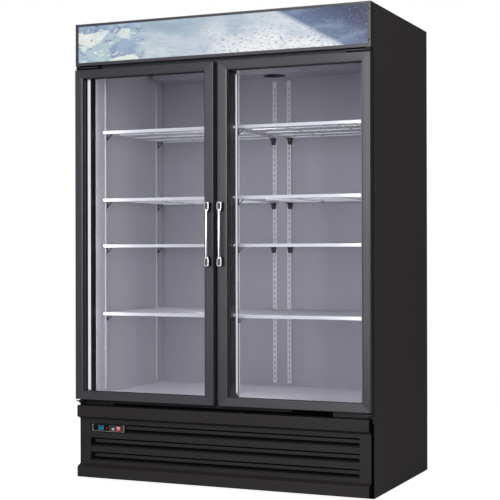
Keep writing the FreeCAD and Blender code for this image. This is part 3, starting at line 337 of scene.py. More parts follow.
def piece(name, bm, materials, body, covers=(), slot=None, bevel=0.0, sharp=35):
    """Turns a bmesh into an object that rides on a body, and stands for the CAD nodes it covers."""
    bmesh.ops.recalc_face_normals(bm, faces=bm.faces)
    mesh = bpy.data.meshes.new(name)
    bm.to_mesh(mesh)
    bm.free()
    for material in materials if isinstance(materials, (list, tuple)) else [materials]:
        mesh.materials.append(material)
    mesh.polygons.foreach_set("use_smooth", [True] * len(mesh.polygons))
    mesh.set_sharp_from_angle(angle=math.radians(sharp))
    made = bpy.data.objects.new(name, mesh)
    scene.collection.objects.link(made)
    if bevel:
        edge = made.modifiers.new("Edges", "BEVEL")
        edge.width, edge.segments, edge.harden_normals = bevel, 2, True
        edge.limit_method, edge.angle_limit = "ANGLE", math.radians(sharp)
    flat = made.modifiers.new("Flat faces", "WEIGHTED_NORMAL")
    flat.keep_sharp = True
    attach(made, body)
    if covers:
        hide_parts(*covers)
        slot = slot or SLOT_OF[covers[0]]
    return made


def box_into(bm, low, high):
    """A block between two corners."""
    x, y, z = zip(low, high)
    corners = [bm.verts.new((x[i & 1], y[i >> 1 & 1], z[i >> 2 & 1])) for i in range(8)]
    for ring in ((0, 1, 3, 2), (4, 6, 7, 5), (0, 4, 5, 1), (2, 3, 7, 6), (0, 2, 6, 4), (1, 5, 7, 3)):
        bm.faces.new([corners[i] for i in ring])


def loft_into(bm, rings, material=0):
    """Skin over rings of points that match one to one, with both ends closed."""
    made = [[bm.verts.new(point) for point in ring] for ring in rings]
    count = len(made[0])
    for a, b in zip(made, made[1:]):
        for i in range(count):
            j = (i + 1) % count
            bm.faces.new((a[i], a[j], b[j], b[i])).material_index = material
    for end in (made[0], made[-1]):
        bm.faces.new(end).material_index = material


def rod_into(bm, start, end, radius, sides=10):
    """A round rod between two points."""
    start, end = Vector(start), Vector(end)
    axis = (end - start).normalized()
    across = axis.orthogonal().normalized()
    other = axis.cross(across)
    turn = [(math.cos(2 * math.pi * i / sides), math.sin(2 * math.pi * i / sides)) for i in range(sides)]
    ring = [(across * c + other * s) * radius for c, s in turn]
    loft_into(bm, [[start + offset for offset in ring], [end + offset for offset in ring]])


def prism_into(bm, outline, axis, low, high):
    """A flat outline drawn out along one axis: its points hold the other two coordinates in order."""
    def at(point, depth):
        spot = list(point)
        spot.insert(axis, depth)
        return spot
    loft_into(bm, [[at(p, low) for p in outline], [at(p, high) for p in outline]])


def mirrored(side, a, b):
    """Two distances from the middle, as x positions on one side of it (-1 or 1), the lower first."""
    return sorted((side * a, side * b))


def rounded(low, high, radius):
    """A rectangle with round corners, as a flat outline."""
    steps = 5
    points = []
    centres = ((high[0] - radius, high[1] - radius, 0), (low[0] + radius, high[1] - radius, 90),
               (low[0] + radius, low[1] + radius, 180), (high[0] - radius, low[1] + radius, 270))
    for x, y, start in centres:
        for k in range(steps + 1):
            a = math.radians(start + 90 * k / steps)
            points.append((x + radius * math.cos(a), y + radius * math.sin(a)))
    return points


def solids_of(node):
    """The mesh islands of a CAD node as (low corner, high corner), from the lowest and leftmost."""
    bm = bmesh.new()
    bm.from_mesh(frame["nodes"][node].data)
    bmesh.ops.remove_doubles(bm, verts=bm.verts, dist=WELD)
    left, found = set(bm.verts), []
    while left:
        stack = [left.pop()]
        spots = []
        while stack:
            vert = stack.pop()
            spots.append(vert.co.copy())
            for edge in vert.link_edges:
                other = edge.other_vert(vert)
                if other in left:
                    left.discard(other)
                    stack.append(other)
        low = Vector([min(s[i] for s in spots) for i in range(3)])
        high = Vector([max(s[i] for s in spots) for i in range(3)])
        found.append((low, high))
    bm.free()
    return sorted(found, key=lambda pair: (round(pair[0].z, 3), round(pair[0].x, 3), round(pair[0].y, 3)))


def softened(node, width=0.0008, material=None, accent=None, where=None):
    """A CAD node's own shape with its long edges rounded, so that they catch the light.
    where picks the faces, by their centre and normal, that take the accent material."""
    source = frame["nodes"][node].data
    bm = bmesh.new()
    spots = [bm.verts.new(v.co) for v in source.vertices]
    for face in source.polygons:
        corners = [spots[i] for i in face.vertices]
        if len(set(corners)) == len(corners):
            try:
                bm.faces.new(corners)
            except ValueError:
                pass
    bmesh.ops.remove_doubles(bm, verts=bm.verts, dist=WELD)
    bmesh.ops.dissolve_limit(bm, angle_limit=math.radians(1), verts=bm.verts, edges=bm.edges)
    materials = [material or FINISH[SLOT_OF[node]]]
    if accent:
        materials.append(accent)
        bm.normal_update()
        for face in bm.faces:
            if where(face.calc_center_median(), face.normal):
                face.material_index = 1
    return piece(node + "_edged", bm, materials, BODY_OF[node], [node], bevel=width)


# -------------------- doors
HINGE_STILE, HANDLE_STILE, RAIL = 0.0375, 0.0415, 0.0365  # the widths of a door's members, in metres
GLASS_EDGE = {HINGE_STILE: 0.0227, HANDLE_STILE: 0.0297, RAIL: 0.0247}  # from the outer edge to the glass


def member_profile(width, depth):
    """Points across a door member, from its outer edge to the glass: (across, back from the front face)."""
    r, lip = 0.0032, 0.0038
    points = [(0.0, depth), (0.0, r)]
    for k in range(1, 6):
        a = math.pi / 2 * k / 5
        points.append((r - r * math.cos(a), r - r * math.sin(a)))
    points += [(width - 0.0072, 0.0), (width - 0.0066, 0.0004), (width - 0.006, 0.0001),
               (width - 0.0052, 0.0001), (width - 0.0012, 0.0009), (width - 0.0003, 0.0015),
               (width, 0.0023), (width, lip)]
    groove = GLASS_EDGE[width]
    points += [(groove, lip), (groove, depth - 0.006), (width, depth - 0.006)]
    points += [(width, depth - 0.0008), (width - 0.0008, depth)]
    return points


def mitred(bm, low, high, widths, profile, hairline=0.00012, side_shade_material=0, plain=None):
    """Four members round a rectangle, each cut at its mitres: widths are left, right, bottom and top.
    Their outer sides take the side shade material, a painted shade, but for the member named plain."""
    left, right, bottom, top = widths
    depth = high.y - low.y
    rings = {}
    for sx, wide in ((0, left), (1, right)):
        for sz, tall in ((0, bottom), (1, top)):
            ring = []
            for (u, v), (w, _) in zip(profile(wide, depth), profile(tall, depth)):
                x = high.x - u if sx else low.x + u
                z = high.z - w if sz else low.z + w
                ring.append(Vector((x, low.y + v, z)))
            rings[sx, sz] = ring
    members = (((0, 0), (0, 1), 0), ((1, 0), (1, 1), 0), ((0, 0), (1, 0), 1), ((0, 1), (1, 1), 1))
    for number, (a, b, upright) in enumerate(members):
        step = (rings[b][0] - rings[a][0]).normalized() * hairline
        loft_into(bm, [[p + step for p in rings[a]], [p - step for p in rings[b]]], upright)
        if side_shade_material and number != plain:
            bm.faces.ensure_lookup_table()
            first = len(bm.faces) - len(rings[a]) - 2
            bm.faces[first].material_index = side_shade_material


def door_frame(door):
    """The four mitred members round the glass, the slimmer upright at the hinge."""
    low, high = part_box(door + "_frame")
    bm = bmesh.new()
    sides = (HINGE_STILE, HANDLE_STILE) if low.x < -BY_THE_SIDES else (HANDLE_STILE, HINGE_STILE)
    handle_side = sides.index(HANDLE_STILE)
    mitred(bm, low, high, (*sides, RAIL, RAIL), member_profile, side_shade_material=2, plain=handle_side)
    # The rails' paint tone is painted reflection; the outer sides' near-black is painted shade.
    paints = [FINISH["charcoal_frame"], FRAME_RAIL, SHADE_EDGE_DARK]
    piece(door + "_mitred_frame", bm, paints, door, [door + "_frame"])


def gasket_profile(width, depth):
    """A magnetic seal from its inner edge: a dart side, two soft folds and the magnet's flat head."""
    shares = ((0, 0.02), (1, 0.02), (1, 0.16), (0.78, 0.24), (0.92, 0.4), (0.74, 0.54), (0.97, 0.64),
              (1, 0.72), (1, 0.93), (0.94, 1), (0.06, 1), (0, 0.93), (0, 0.72), (0.05, 0.64),
              (0.26, 0.54), (0.08, 0.4), (0.22, 0.24), (0, 0.16))
    return [(width * across, depth * back) for across, back in shares]


def gasket(door):
    """The folded magnetic seal behind a door's frame."""
    low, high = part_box(door + "_gasket")
    bm = bmesh.new()
    mitred(bm, low, high, (0.012,) * 4, gasket_profile, 0.0)
    bmesh.ops.remove_doubles(bm, verts=bm.verts, dist=1e-6)
    piece(door + "_folded_gasket", bm, FINISH["gasket"], door, [door + "_gasket"], sharp=50)


HANDLE_END, BAR_END = 0.0105, 0.0052  # half the handle's width over its broad ends and where the bar starts


def cap_outline(wide_end, tip_end, inset=0.0):
    """A handle's end: a rectangle with round outer corners that tapers to the bar, as (across, up) points."""
    sign = 1 if tip_end > wide_end else -1
    w, tip = HANDLE_END - inset, BAR_END - min(inset, BAR_END * 0.6)
    r = 0.0058 - inset * 0.6
    start = wide_end + sign * inset
    points = []
    for centre, first in ((r - w, 180), (w - r, 270)):
        for k in range(6):
            a = math.radians(first + 18 * k)
            points.append((centre + r * math.cos(a), start + sign * (r + r * math.sin(a))))
    shoulder = wide_end + sign * (0.027 - inset * 0.3)
    waist = wide_end + sign * (0.034 - inset * 0.8)
    end = tip_end - sign * inset * 1.6
    points += [(w, shoulder), (w * 0.78, waist), (tip, end), (-tip, end), (-w * 0.78, waist), (-w, shoulder)]
    return points


def handle(door):
    """A slim, slightly bowed chrome bar between two broad ends, each with a grey inset whose grey paints the
    chrome's dark reflection.
    """
    low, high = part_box(door + "_handle")
    middle_x, foot = (low.x + high.x) / 2, high.y
    bar_y, rim, end_tall = low.y + 0.0055, low.y + 0.0062, 0.04
    bm, inset, posts = bmesh.new(), bmesh.new(), bmesh.new()
    for wide_end, tip_end in ((low.z, low.z + end_tall), (high.z, high.z - end_tall)):
        centre_z = (wide_end + tip_end) / 2
        outline = [(middle_x + a, b) for a, b in cap_outline(wide_end, tip_end)]
        inner = [(middle_x + a, b) for a, b in cap_outline(wide_end, tip_end, 0.0034)]

        def ring(points, y, across=1.0, up=1.0):
            return [((a - middle_x) * across + middle_x, y, (b - centre_z) * up + centre_z)
                    for a, b in points]
        loft_into(posts, [ring(outline, foot), ring(outline, foot - 0.003), ring(outline, foot - 0.006, 0.9),
                          ring(outline, rim + 0.0052, 0.9)])
        loft_into(bm, [ring(outline, rim + 0.0052), ring(outline, rim + 0.0016), ring(outline, rim + 0.0004),
                       ring(outline, rim, 0.93, 0.97), ring(inner, rim + 0.0001), ring(inner, rim + 0.0016)])
        loft_into(inset, [ring(inner, rim + 0.0015), ring(inner, rim + 0.0011),
                          ring(inner, rim + 0.0006, 0.8, 0.85)])
    steps, sides = 25, 16
    start, end = low.z + 0.031, high.z - 0.031
    rings = []
    for k in range(steps):
        share = k / (steps - 1)
        belly = math.sin(math.pi * share)
        half_wide = 0.0050 + 0.0009 * belly
        half_deep = 0.0044 + 0.0006 * belly
        y = bar_y + 0.0008 * (1 - belly)
        z = start + (end - start) * share
        turn = [2 * math.pi * i / sides for i in range(sides)]
        rings.append([(middle_x + half_wide * math.cos(a), y + half_deep * math.sin(a), z) for a in turn])
    loft_into(bm, rings)
    piece(door + "_chrome_handle", bm, FINISH["chrome"], door, [door + "_handle"], sharp=50)
    piece(door + "_handle_insets", inset, INSET_AND_REFLECTION_GREY, door, sharp=30, slot="chrome")
    piece(door + "_handle_posts", posts, FINISH["black_plastic"], door, slot="black_plastic", sharp=50)


# -------------------- header sign
def header():
    """The sign's rails with rounded fronts, and its end caps with their screws set in."""
    low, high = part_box("header_frame")
    sign_low, sign_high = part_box("sign_panel")
    r, seat, back = 0.0025, sign_low.y - 0.0004, sign_high.y + 0.0005
    overlap, groove = 0.0035, 0.0032
    bm = bmesh.new()
    for outer, inner in ((low.z, sign_low.z + overlap), (high.z, sign_high.z - overlap)):
        s = 1 if inner > outer else -1
        outline = [(high.y, outer), (low.y + r, outer)]
        for k in range(1, 5):
            a = math.pi / 2 * k / 4
            outline.append((low.y + r - r * math.sin(a), outer + s * (r - r * math.cos(a))))
        outline += [(low.y, inner - s * overlap), (low.y + 0.0004, inner - s * 0.0028),
                    (low.y + 0.0012, inner), (seat, inner), (seat, inner - s * groove),
                    (back, inner - s * groove), (back, inner), (high.y, inner)]
        prism_into(bm, outline, 0, low.x, high.x)
    piece("header_rails", bm, HEADER_PAINT, "cabinet", ["header_frame"])
    # Painted shade: the end caps' end faces take the near-black.
    softened("header_end_caps", 0.0016, HEADER_PAINT, SHADE_EDGE_DARK, lambda centre, normal: abs(normal.x) > 0.9)


# -------------------- shelves, pilasters and lamps
CABINET_FACE = -0.346
SHELF_RODS = (0.25, 0.4, 0.55)  # how far the rods across a shelf lie behind the cabinet's face


def shelves():
    """Welded wire shelves: round wires over cross rods, a rim rod, and a smooth flat lip in front."""
    bm, lips = bmesh.new(), bmesh.new()
    wire, rod, lip_depth, gaps, post = 0.0015, 0.003, 0.004, 25, 0.115
    for low, high in solids_of("wire_shelves"):
        top, middle = high.z, (low.x + high.x) / 2
        box_into(lips, (low.x, low.y, low.z), (high.x, low.y + lip_depth, top))
        rod_z = top - 2 * wire - rod
        for y in (high.y - rod, *(CABINET_FACE + depth + rod for depth in SHELF_RODS)):
            rod_into(bm, (low.x, y, rod_z), (high.x, y, rod_z), rod)
        for x in (low.x + rod, high.x - rod, middle - post, middle + post):
            rod_into(bm, (x, low.y + lip_depth, rod_z), (x, high.y, rod_z), rod)
        for n in range(gaps + 1):
            x = low.x + wire + (high.x - low.x - 2 * wire) * n / gaps
            rod_into(bm, (x, low.y + lip_depth, top - wire), (x, high.y, top - wire), wire, 8)
    piece("shelf_wires", bm, WIRE_WHITE, "cabinet", ["wire_shelves"])
    piece("shelf_lips", lips, FINISH["shelf_white"], "cabinet", slot="shelf_white", bevel=0.0015)


def shelf_hooks():
    """Shelf clips: a bent strut with a hooked foot at the sides, and a broad tapered plate at the rear."""
    bm = bmesh.new()
    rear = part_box("liner_walls")[1].y - 0.04
    half, wide, thick = 0.014, 0.003, 0.0014
    for low, high in solids_of("shelf_clips"):
        if high.y > rear:
            middle, back, plate = (low.x + high.x) / 2, high.y, high.y - 0.004
            top = [(-half, plate), (half, plate), (half, back), (-half, back)]
            loft_into(bm, [[(middle + x * narrow, y, z) for x, y in top]
                           for narrow, z in ((1, high.z), (0.62, low.z))])
            box_into(bm, (middle - half, low.y, high.z - 0.0025), (middle + half, back, high.z))
            continue
        inner = 1 if (abs(low.x) > BY_THE_SIDES) == (low.x > 0) else -1
        foot = high.x if inner > 0 else low.x
        tip = low.x if inner > 0 else high.x
        y = (low.y + high.y) / 2
        upright = foot - inner * thick
        for a, b in (((foot, high.z - thick), (tip, high.z - thick)),
                     ((foot, low.z + thick), (tip, high.z - thick)), ((upright, low.z), (upright, high.z))):
            rod_into(bm, (a[0], y, a[1]), (b[0], y, b[1]), 0.0022)
        hook = low.z + (high.z - low.z) * 0.4
        box_into(bm, (foot, y - wide, low.z), (foot - inner * 0.0016, y + wide, hook))
    piece("shelf_hooks", bm, CLIP_GREY, "cabinet", ["shelf_clips"])


def lamps():
    """Upright LED bars: a dark channel with a narrower rounded lens in front, and end caps.
    near and far are the gaps beside the lens, and thick is its depth."""
    lenses, channels, ends = bmesh.new(), bmesh.new(), bmesh.new()
    lens_r, channel_r, cap = 0.0019, 0.0012, 0.005
    for low, high in solids_of("led_lamp_diffusers"):
        outer = abs(low.x) > BY_THE_SIDES
        near, far, thick = (0.0055, 0.0025, 0.004) if outer else (0.0055, 0.0006, 0.007)
        if (low.x > 0) == outer:
            near, far = far, near
        back = low.y + thick
        lens = rounded((low.x + near, low.y), (high.x - far, back + 0.001), lens_r)
        prism_into(lenses, lens, 2, low.z + cap, high.z - cap)
        channel = rounded((low.x, back), (high.x, high.y), channel_r)
        prism_into(channels, channel, 2, low.z + 0.001, high.z - 0.001)
        block = rounded((low.x + near, low.y), (high.x - far, high.y), lens_r)
        for start, stop in ((low.z, low.z + cap), (high.z - cap, high.z)):
            prism_into(ends, block, 2, start, stop)
    piece("led_lenses", lenses, FINISH["led_diffuser"], "cabinet", ["led_lamp_diffusers"])
    piece("led_channels", channels, FINISH["black_plastic"], "cabinet", slot="lamp_housing", sharp=50)
    piece("led_end_caps", ends, FINISH["lamp_housing"], "cabinet", slot="lamp_housing", bevel=0.0008)
    softened("led_lamp_housings", 0.0006, FINISH["black_plastic"])


# -------------------- controller
def digit_into(bm, left, low, wide, tall, front, pattern):
    """A seven-segment digit: pattern names its lit bars, a to g."""
    bar, half = wide * 0.18, tall / 2
    places = {
        "a": (left + bar, low + tall - bar, left + wide - bar, low + tall),
        "b": (left + wide - bar, low + half, left + wide, low + tall - bar * 0.4),
        "c": (left + wide - bar, low + bar * 0.4, left + wide, low + half),
        "d": (left + bar, low, left + wide - bar, low + bar),
        "e": (left, low + bar * 0.4, left + bar, low + half),
        "f": (left, low + half, left + bar, low + tall - bar * 0.4),
        "g": (left + bar, low + half - bar / 2, left + wide - bar, low + half + bar / 2),
    }
    for key in pattern:
        x0, z0, x1, z1 = places[key]
        cut = bar * 0.25
        outline = [(x0, z0 + cut), (x0 + cut, z0), (x1 - cut, z0), (x1, z0 + cut),
                   (x1, z1 - cut), (x1 - cut, z1), (x0 + cut, z1), (x0, z1 - cut)]
        prism_into(bm, outline, 1, front - 0.0003, front + 0.0002)


def controller():
    """The case with its light rim, its top strip in painted shade, the lit digits and the status dot on the
    display, and the rockers.
    """
    case_low, case_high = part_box("controller_housing")
    softened("controller_housing", 0.0008, CONTROLLER_GREY, SEAL_AND_SHADE_BLACK,
             lambda centre, normal: normal.x < -0.9)
    wide = 0.0034
    tall, back = wide * 0.8, case_low.y
    front, left, right, bottom, top = back - 0.0012, case_low.x + 0.005, case_high.x, case_low.z, case_high.z
    rim, shaded = bmesh.new(), bmesh.new()
    box_into(rim, (left, front, bottom), (left + wide, back, top))
    box_into(rim, (right - wide, front, bottom), (right, back, top))
    box_into(rim, (left + wide, front, bottom), (right - wide, back, bottom + tall))
    # The rim's top strip is painted shade, where the case's top casts its shadow.
    box_into(shaded, (left + wide, front, top - tall), (right - wide, back, top))
    piece("controller_rim", rim, BEZEL_GREY, "cabinet", slot="black_plastic", bevel=0.0005)
    piece("controller_rim_painted_shade", shaded, FINISH["black_plastic"], "cabinet", slot="black_plastic",
          bevel=0.0005)
    low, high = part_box("controller_display")
    softened("controller_display", 0.0006)
    digits, dot = bmesh.new(), bmesh.new()
    tall = (high.z - low.z) * 0.7
    wide = tall * 0.72
    level = (low.z + high.z) / 2
    start, gap = low.x + 0.0195, 0.0035
    for n, pattern in enumerate(("abcdg", "abcdeg")):
        digit_into(digits, start + n * (wide + gap), level - tall / 2, wide, tall, low.y, pattern)
    piece("display_digits", digits, DIGIT_BLUE, "cabinet", slot="display_black")
    dot_x, dot_z = high.x - 0.0125, level - 0.001
    rod_into(dot, (dot_x, low.y - 0.0003, dot_z), (dot_x, low.y + 0.0002, dot_z), 0.0018, 16)
    piece("display_dot", dot, DIGIT_RED, "cabinet", slot="display_black")
    middle = sum(corner.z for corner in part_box("power_switch")) / 2
    softened("power_switch", 0.0009, None, ROCKER_LENS,
             lambda centre, normal: centre.z > middle and normal.y < -0.3)
    softened("light_switch", 0.0009)
    softened("set_button", 0.0005, INSET_AND_REFLECTION_GREY)


# -------------------- grille
SLOT_LOW, SLOT_PITCH = 0.087, 0.062  # the lowest slot's height above the floor, and the step to the next
SLOT_HALF, SLOT_DEPTH = 0.616, 0.0315  # half a slot's width, and the slots' face behind the grille's front


def grille_filter():
    """A pleated black dust filter behind the grille's slots."""
    low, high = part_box("front_grille")
    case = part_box("controller_housing")[1]
    front = case.y + 0.004
    bm = bmesh.new()
    pleat, depth = 0.006, 0.005
    left, right, bottom, top = low.x + 0.03, high.x - 0.03, low.z + 0.05, high.z - 0.02
    count = int((right - left) / pleat)
    ridge = [(left + pleat * n, front + (depth if n % 2 else 0)) for n in range(count + 1)]
    outline = ridge + [(x, y + 0.0012) for x, y in reversed(ridge)]
    made = [[bm.verts.new((x, y, z)) for x, y in outline] for z in (bottom, top)]
    total = len(outline)
    for i in range(total):
        j = (i + 1) % total
        bm.faces.new((made[0][i], made[0][j], made[1][j], made[1][i]))
    for ring in made:
        for i in range(count):
            bm.faces.new((ring[i], ring[i + 1], ring[total - 2 - i], ring[total - 1 - i]))
    piece("grille_filter", bm, FINISH["foot_rubber"], "cabinet", slot="black_plastic", sharp=20)


def grille_louvres():
    """The upright face of each slot's louvre, short of the slot's left end, with painted shadow round it: a
    black band under it, a dark band under that, and black at the slot's left end.
    """
    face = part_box("front_grille")[0].y + SLOT_DEPTH
    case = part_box("controller_housing")[1].x
    right = SLOT_HALF - 0.0004
    blade = ((0, 0.0175), (0.0006, 0.0169), (0.0016, 0.0169), (0.0034, 0.0185), (0.0016, 0.0195),
             (0.0016, 0.0302), (0.0008, 0.0308), (0, 0.0302))
    shadow = ((0.001, 0.0087), (0.0018, 0.0083), (0.003, 0.0178), (0.002, 0.0178))
    fade = ((0.0002, 0.0042), (0.001, 0.0038), (0.002, 0.0086), (0.0012, 0.0088))
    wall = ((0.0012, 0.001), (0.0026, 0.001), (0.0026, 0.0358), (0.0012, 0.0358))
    blades, shadows, fades = bmesh.new(), bmesh.new(), bmesh.new()
    for row in range(3):
        slot = cad_bounds[0].z + SLOT_LOW + SLOT_PITCH * row
        beside_case = row == 2
        end = case + 0.0006 if beside_case else -right
        left = case + 0.006 if beside_case else -SLOT_HALF + 0.022

        def strip(bm, profile, start, stop):
            prism_into(bm, [(face + back, slot + up) for back, up in profile], 0, start, stop)
        strip(blades, blade, left, right)
        strip(shadows, shadow, end, right)
        strip(fades, fade, end, right)
        if not beside_case:
            strip(shadows, wall, end, left - 0.0004)
    piece("grille_louvres", blades, GRILLE_BLACK, "cabinet", slot="black_plastic", sharp=50)
    # Painted shadow in the slots: black under each louvre and at the left ends, and a dark band lower down.
    piece("grille_slot_painted_shadow", shadows, SEAL_AND_SHADE_BLACK, "cabinet", slot="black_plastic", sharp=50)
    piece("grille_slot_painted_shade", fades, SLOT_SHADE, "cabinet", slot="black_plastic", sharp=50)


def grille_end_shade():
    """Black strips over the grille's two ends and the gaps beside it: painted shade where those faces stand
    in shadow.
    """
    low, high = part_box("front_grille")
    edge, panel = high.x + 0.0016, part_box("side_panel_right")[1].x - 0.0012
    bm = bmesh.new()
    face, band = low.y + 0.029, low.y + 0.0012
    outline = [(high.y, low.z), (band, low.z), (band, low.z + 0.0445), (face, low.z + 0.0565),
               (face, low.z + 0.2505), (band, low.z + 0.2625), (band, high.z), (high.y, high.z)]
    for s in (-1, 1):
        prism_into(bm, outline, 0, *mirrored(s, high.x + 0.0001, edge))
        start, stop = mirrored(s, edge, panel)
        box_into(bm, (start, high.y - 0.008, low.z), (stop, high.y - 0.001, high.z))
    piece("grille_end_painted_shade", bm, SEAL_AND_SHADE_BLACK, "cabinet", slot="gasket", sharp=50)


# -------------------- between the doors and the header
def hinge_covers():
    """Dark covers over the top hinges: a block at each end of the gap, a bar along it and a stop; the
    near-black of the blocks and the stop is painted shade.
    """
    bracket_low, bracket_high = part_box("hinge_brackets")
    door_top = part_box("left_door_frame")[1].z
    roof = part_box("header_frame")[0].z
    plate = door_top + 0.004
    front, back = bracket_low.y + 0.003, bracket_high.y - 0.0012
    blocks, bars = bmesh.new(), bmesh.new()
    outer = bracket_high.x - 0.0004
    top, tip = roof - 0.0002, outer - 0.106
    for bm, start, stop, y, bottom, upper in (
            (blocks, outer, outer - 0.021, front, plate + 0.0041, top),
            (blocks, outer, outer - 0.004, front, door_top + 0.0018, plate - 0.0001),
            (bars, outer - 0.0215, tip, front + 0.006, plate + 0.0040, plate + 0.0094),
            (blocks, outer - 0.0985, tip, front + 0.004, plate + 0.0002, top)):
        for s in (-1, 1):
            x0, x1 = mirrored(s, start, stop)
            box_into(bm, (x0, y, bottom), (x1, back, upper))
    piece("hinge_cover_blocks", blocks, SHADE_EDGE_DARK, "cabinet", slot="black_plastic", bevel=0.0008)
    piece("hinge_cover_bars", bars, FRAME_DARK, "cabinet", slot="black_plastic", bevel=0.0006)


def mullion_cover():
    """The slim strip over the centre post that shows in the gap between the two doors; its pale colour is
    painted light that brightens the shaded gap.
    """
    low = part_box("mullion")[0]
    seal_low, seal_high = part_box("right_door_gasket")
    half, inside = seal_low.x - 0.0015, 0.004
    bm = bmesh.new()
    outline = [(-half, low.y), (-half + 0.0006, low.y - 0.001), (-0.0008, low.y - 0.0012),
               (0, low.y - 0.0009), (0.0008, low.y - 0.0012), (half - 0.0006, low.y - 0.001), (half, low.y)]
    prism_into(bm, outline, 2, seal_low.z + inside, seal_high.z - inside)
    piece("mullion_cover", bm, GAP_COVER_PAINTED_LIGHT, "cabinet", slot="black_plastic", sharp=20)


def sill():
    """The strip between the doors and the grille: grey above, and painted shadow in black below it and over
    the slot left of the right-hand bracket.
    """
    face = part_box("front_frame")[0].y
    door_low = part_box("left_door_frame")[0].z
    grille_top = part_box("front_grille")[1].z
    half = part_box("hinge_brackets")[1].x - 0.002
    bracket = solids_of("hinge_brackets")[1][0].x
    slot_start, step = bracket - 0.178, grille_top + 0.0115
    front, top = face - 0.0011, door_low - 0.0008
    greys, blacks = bmesh.new(), bmesh.new()
    box_into(greys, (-half, front, step), (slot_start, face, top))
    box_into(greys, (bracket, front, step), (half, face, top))
    # Painted shadow: black under the grey strip and over the slot.
    box_into(blacks, (-half, front, grille_top + 0.0002), (half, face, step - 0.0001))
    box_into(blacks, (slot_start + 0.0001, front, step), (bracket - 0.0001, face, top))
    piece("sill_strips", greys, SILL_GREY, "cabinet", slot="charcoal_frame", bevel=0.0003)
    piece("sill_painted_shadow", blacks, SEAL_AND_SHADE_BLACK, "cabinet", slot="gasket", bevel=0.0003)


def breaker_corners():
    """The ends of the black strips along the sill and the head, where they run into the side strips."""
    low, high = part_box("breaker_strips")
    front, back, reach, plate = low.y + 0.0001, high.y - 0.0002, 0.0172, 0.0012
    bm = bmesh.new()
    for z_front, z_back, thick in ((low.z + 0.0141, low.z + 0.0011, -plate),
                                   (high.z - 0.0016, high.z - 0.0089, plate)):
        outline = [(front, z_front), (back, z_back), (back, z_back + thick), (front, z_front + thick)]
        for s in (-1, 1):
            prism_into(bm, outline, 0, *mirrored(s, high.x - 0.0001, high.x - reach))
    for s in (-1, 1):
        edge, inner, out = s * (high.x - 0.0006), s * (high.x - 0.0169), s * 0.0015
        post = [(edge, front), (inner, back), (inner + out, back), (edge + out, front)]
        prism_into(bm, post, 2, low.z + 0.001, low.z + 0.0168)
        prism_into(bm, post, 2, high.z - 0.0042, high.z - 0.0002)
    piece("breaker_corners", bm, SEAL_AND_SHADE_BLACK, "cabinet", slot="black_plastic", sharp=50)


# -------------------- assembly
for side in ("left_door", "right_door"):
    door_frame(side)
    gasket(side)
    handle(side)
header()
shelves()
shelf_hooks()
lamps()
controller()
softened("front_grille", 0.0014, GRILLE_BLACK)
grille_louvres()
grille_end_shade()
grille_filter()
hinge_covers()
mullion_cover()
sill()
breaker_corners()
softened("top_panel", 0.0007)
for edged in ("side_panel_left", "side_panel_right"):
    softened(edged, 0.0007, None, SEAL_AND_SHADE_BLACK, lambda centre, normal: normal.y < -0.9)
# Painted shade: the ceiling and the evaporator cover take a darker copy of the enamel, and the back wall
# another.
softened("liner_ceiling_and_floor", 0.0005, None, LINER_CEILING_SHADE, lambda centre, normal: centre.z > 1)
softened("evaporator_cover", 0.0007, LINER_CEILING_SHADE)
softened("liner_walls", 0.0005, LINER_SIDE, LINER_BACK_SHADE,
         lambda centre, normal: normal.y < -0.9 and centre.y > 0.2)
softened("front_frame", 0.0007, FRAME_DARK)
softened("mullion", 0.0009, FINISH["gloss_black"])
softened("breaker_strips", 0.0006, None, FINISH["black_plastic"], lambda centre, normal: centre.z > 1.7)
# Painted shade: the top brackets and the lower left one take the near-black.
softened("hinge_brackets", 0.0006, BRACKET_GREY, SHADE_EDGE_DARK,
         lambda centre, normal: centre.z > 1 or centre.x < 0)


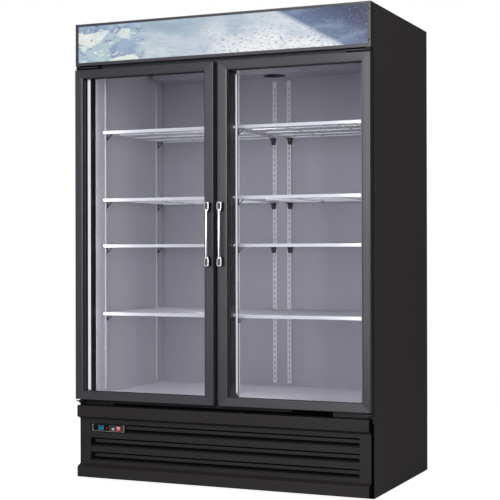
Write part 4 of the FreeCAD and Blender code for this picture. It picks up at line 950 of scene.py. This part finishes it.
# -------------------- floor, light and camera
def floor():
    """A pale round floor that fades into the white background."""
    t = Tree("studio_floor")
    coord = t.add("ShaderNodeTexCoord").outputs["Object"]
    reach = t.add("ShaderNodeVectorMath", {0: coord}, operation="LENGTH").outputs["Value"]
    grain = t.noise(coord, 60.0, 3.0)
    paint = t.add("ShaderNodeBsdfPrincipled", {
        "Base Color": t.blend(grain, (0.6, 0.6, 0.6, 1), (0.64, 0.64, 0.64, 1)),
        "Roughness": t.spread(grain, 0.6, 0.7), "Specular IOR Level": 0.1, "Normal": t.bump(grain, 0.02),
        "Emission Color": (1, 1, 1, 1),
        "Emission Strength": t.math("MULTIPLY", t.add("ShaderNodeLightPath").outputs["Is Camera Ray"], 0.95),
    }).outputs[0]
    fade = t.spread(reach, 0, 1, 1.1, 3.2)
    clear = t.add("ShaderNodeBsdfTransparent").outputs[0]
    material = t.show(t.add("ShaderNodeMixShader", {0: fade, 1: paint, 2: clear}).outputs[0])
    bm = bmesh.new()
    radius, sides = 3.3, 96
    turn = [2 * math.pi * i / sides for i in range(sides)]
    bm.faces.new([bm.verts.new((radius * math.cos(a), radius * math.sin(a), 0)) for a in turn])
    mesh = bpy.data.meshes.new("studio_floor")
    bm.to_mesh(mesh)
    bm.free()
    mesh.materials.append(material)
    made = bpy.data.objects.new("studio_floor", mesh)
    made.location.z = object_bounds()[0][2] - 0.0005
    scene.collection.objects.link(made)
    made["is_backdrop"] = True


def studio_world():
    """White behind the object, and a dimmer grey room for its light and reflections."""
    world = bpy.data.worlds.new("studio")
    scene.world = world
    world.use_nodes = True
    tree = world.node_tree
    tree.nodes.clear()
    new = tree.nodes.new
    out, mix = new("ShaderNodeOutputWorld"), new("ShaderNodeMixShader")
    seen, room = new("ShaderNodeBackground"), new("ShaderNodeBackground")
    path = new("ShaderNodeLightPath")
    seen.inputs["Color"].default_value = (1, 1, 1, 1)
    room.inputs["Color"].default_value = (0.96, 0.97, 1.0, 1)
    room.inputs["Strength"].default_value = 0.24
    tree.links.new(path.outputs["Is Camera Ray"], mix.inputs[0])
    tree.links.new(room.outputs[0], mix.inputs[1])
    tree.links.new(seen.outputs[0], mix.inputs[2])
    tree.links.new(mix.outputs[0], out.inputs["Surface"])


def area_light(name, place, target, size, power, colour=(1, 1, 1), hidden=False):
    """A rectangle of light aimed at a point. The camera never sees it, nor do reflections if it's hidden."""
    light = bpy.data.lights.new(name, "AREA")
    light.shape, light.size, light.size_y = "RECTANGLE", size[0], size[1]
    light.energy, light.color = power, colour
    made = bpy.data.objects.new(name, light)
    made.location = place
    made.rotation_euler = (Vector(target) - Vector(place)).to_track_quat("-Z", "Y").to_euler()
    made.visible_camera = False
    made.visible_glossy = not hidden
    scene.collection.objects.link(made)


def lights():
    """A soft key, its fills and a light overhead, and a slim light beside each LED bar."""
    low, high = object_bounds()
    middle = (low + high) / 2
    led_colour = (0.97, 0.96, 1.0)
    area_light("key", (0.3, -4.9, 2.4), middle, (1.9, 2.7), 126)
    area_light("strip", (-0.35, -4.7, 0.5), middle, (0.9, 0.9), 12)
    area_light("fill", (3.6, -2.8, 2.2), middle, (1.6, 2.4), 40)
    area_light("side_strip", (-1.65, -4.7, 1.35), middle, (0.6, 2.4), 9)
    area_light("overhead", (0.2, -0.6, 4.4), middle, (3.4, 3.0), 60)
    for lamp_low, lamp_high in solids_of("led_lamp_diffusers"):
        x, y, z = (lamp_low + lamp_high) / 2
        tall = lamp_high.z - lamp_low.z
        outer = abs(x) > BY_THE_SIDES
        inward = -1 if (x > 0) == outer else 1
        y = lamp_high.y + 0.004 if outer else y
        place = (x + inward * (0.016 if outer else 0.012), y, z)
        target, power = (x + inward * 0.35, 0.2, z), 0.95 if outer else 1.8
        area_light(f"led_{x:.2f}", place, target, (0.012, tall), power, led_colour, True)


CAMERA_PLACE = (2.29084, -5.29139, 0.98740)
CAMERA_TURN, CAMERA_RISE, CAMERA_ROLL = 23.5235, 0.1219, -0.1176  # degrees


def camera():
    """The view of the object: at the height of its middle, and to its right."""
    eye = bpy.data.cameras.new("camera")
    eye.lens, eye.sensor_width = 93.91, 36.0
    made = bpy.data.objects.new("camera", eye)
    pose = Matrix.Translation(CAMERA_PLACE)
    for angle, axis in ((CAMERA_TURN, "Z"), (90 + CAMERA_RISE, "X"), (CAMERA_ROLL, "Z")):
        pose = pose @ Matrix.Rotation(math.radians(angle), 4, axis)
    made.matrix_world = pose
    scene.collection.objects.link(made)
    scene.camera = made


floor()
studio_world()
lights()
camera()
scene.view_settings.view_transform = "Standard"
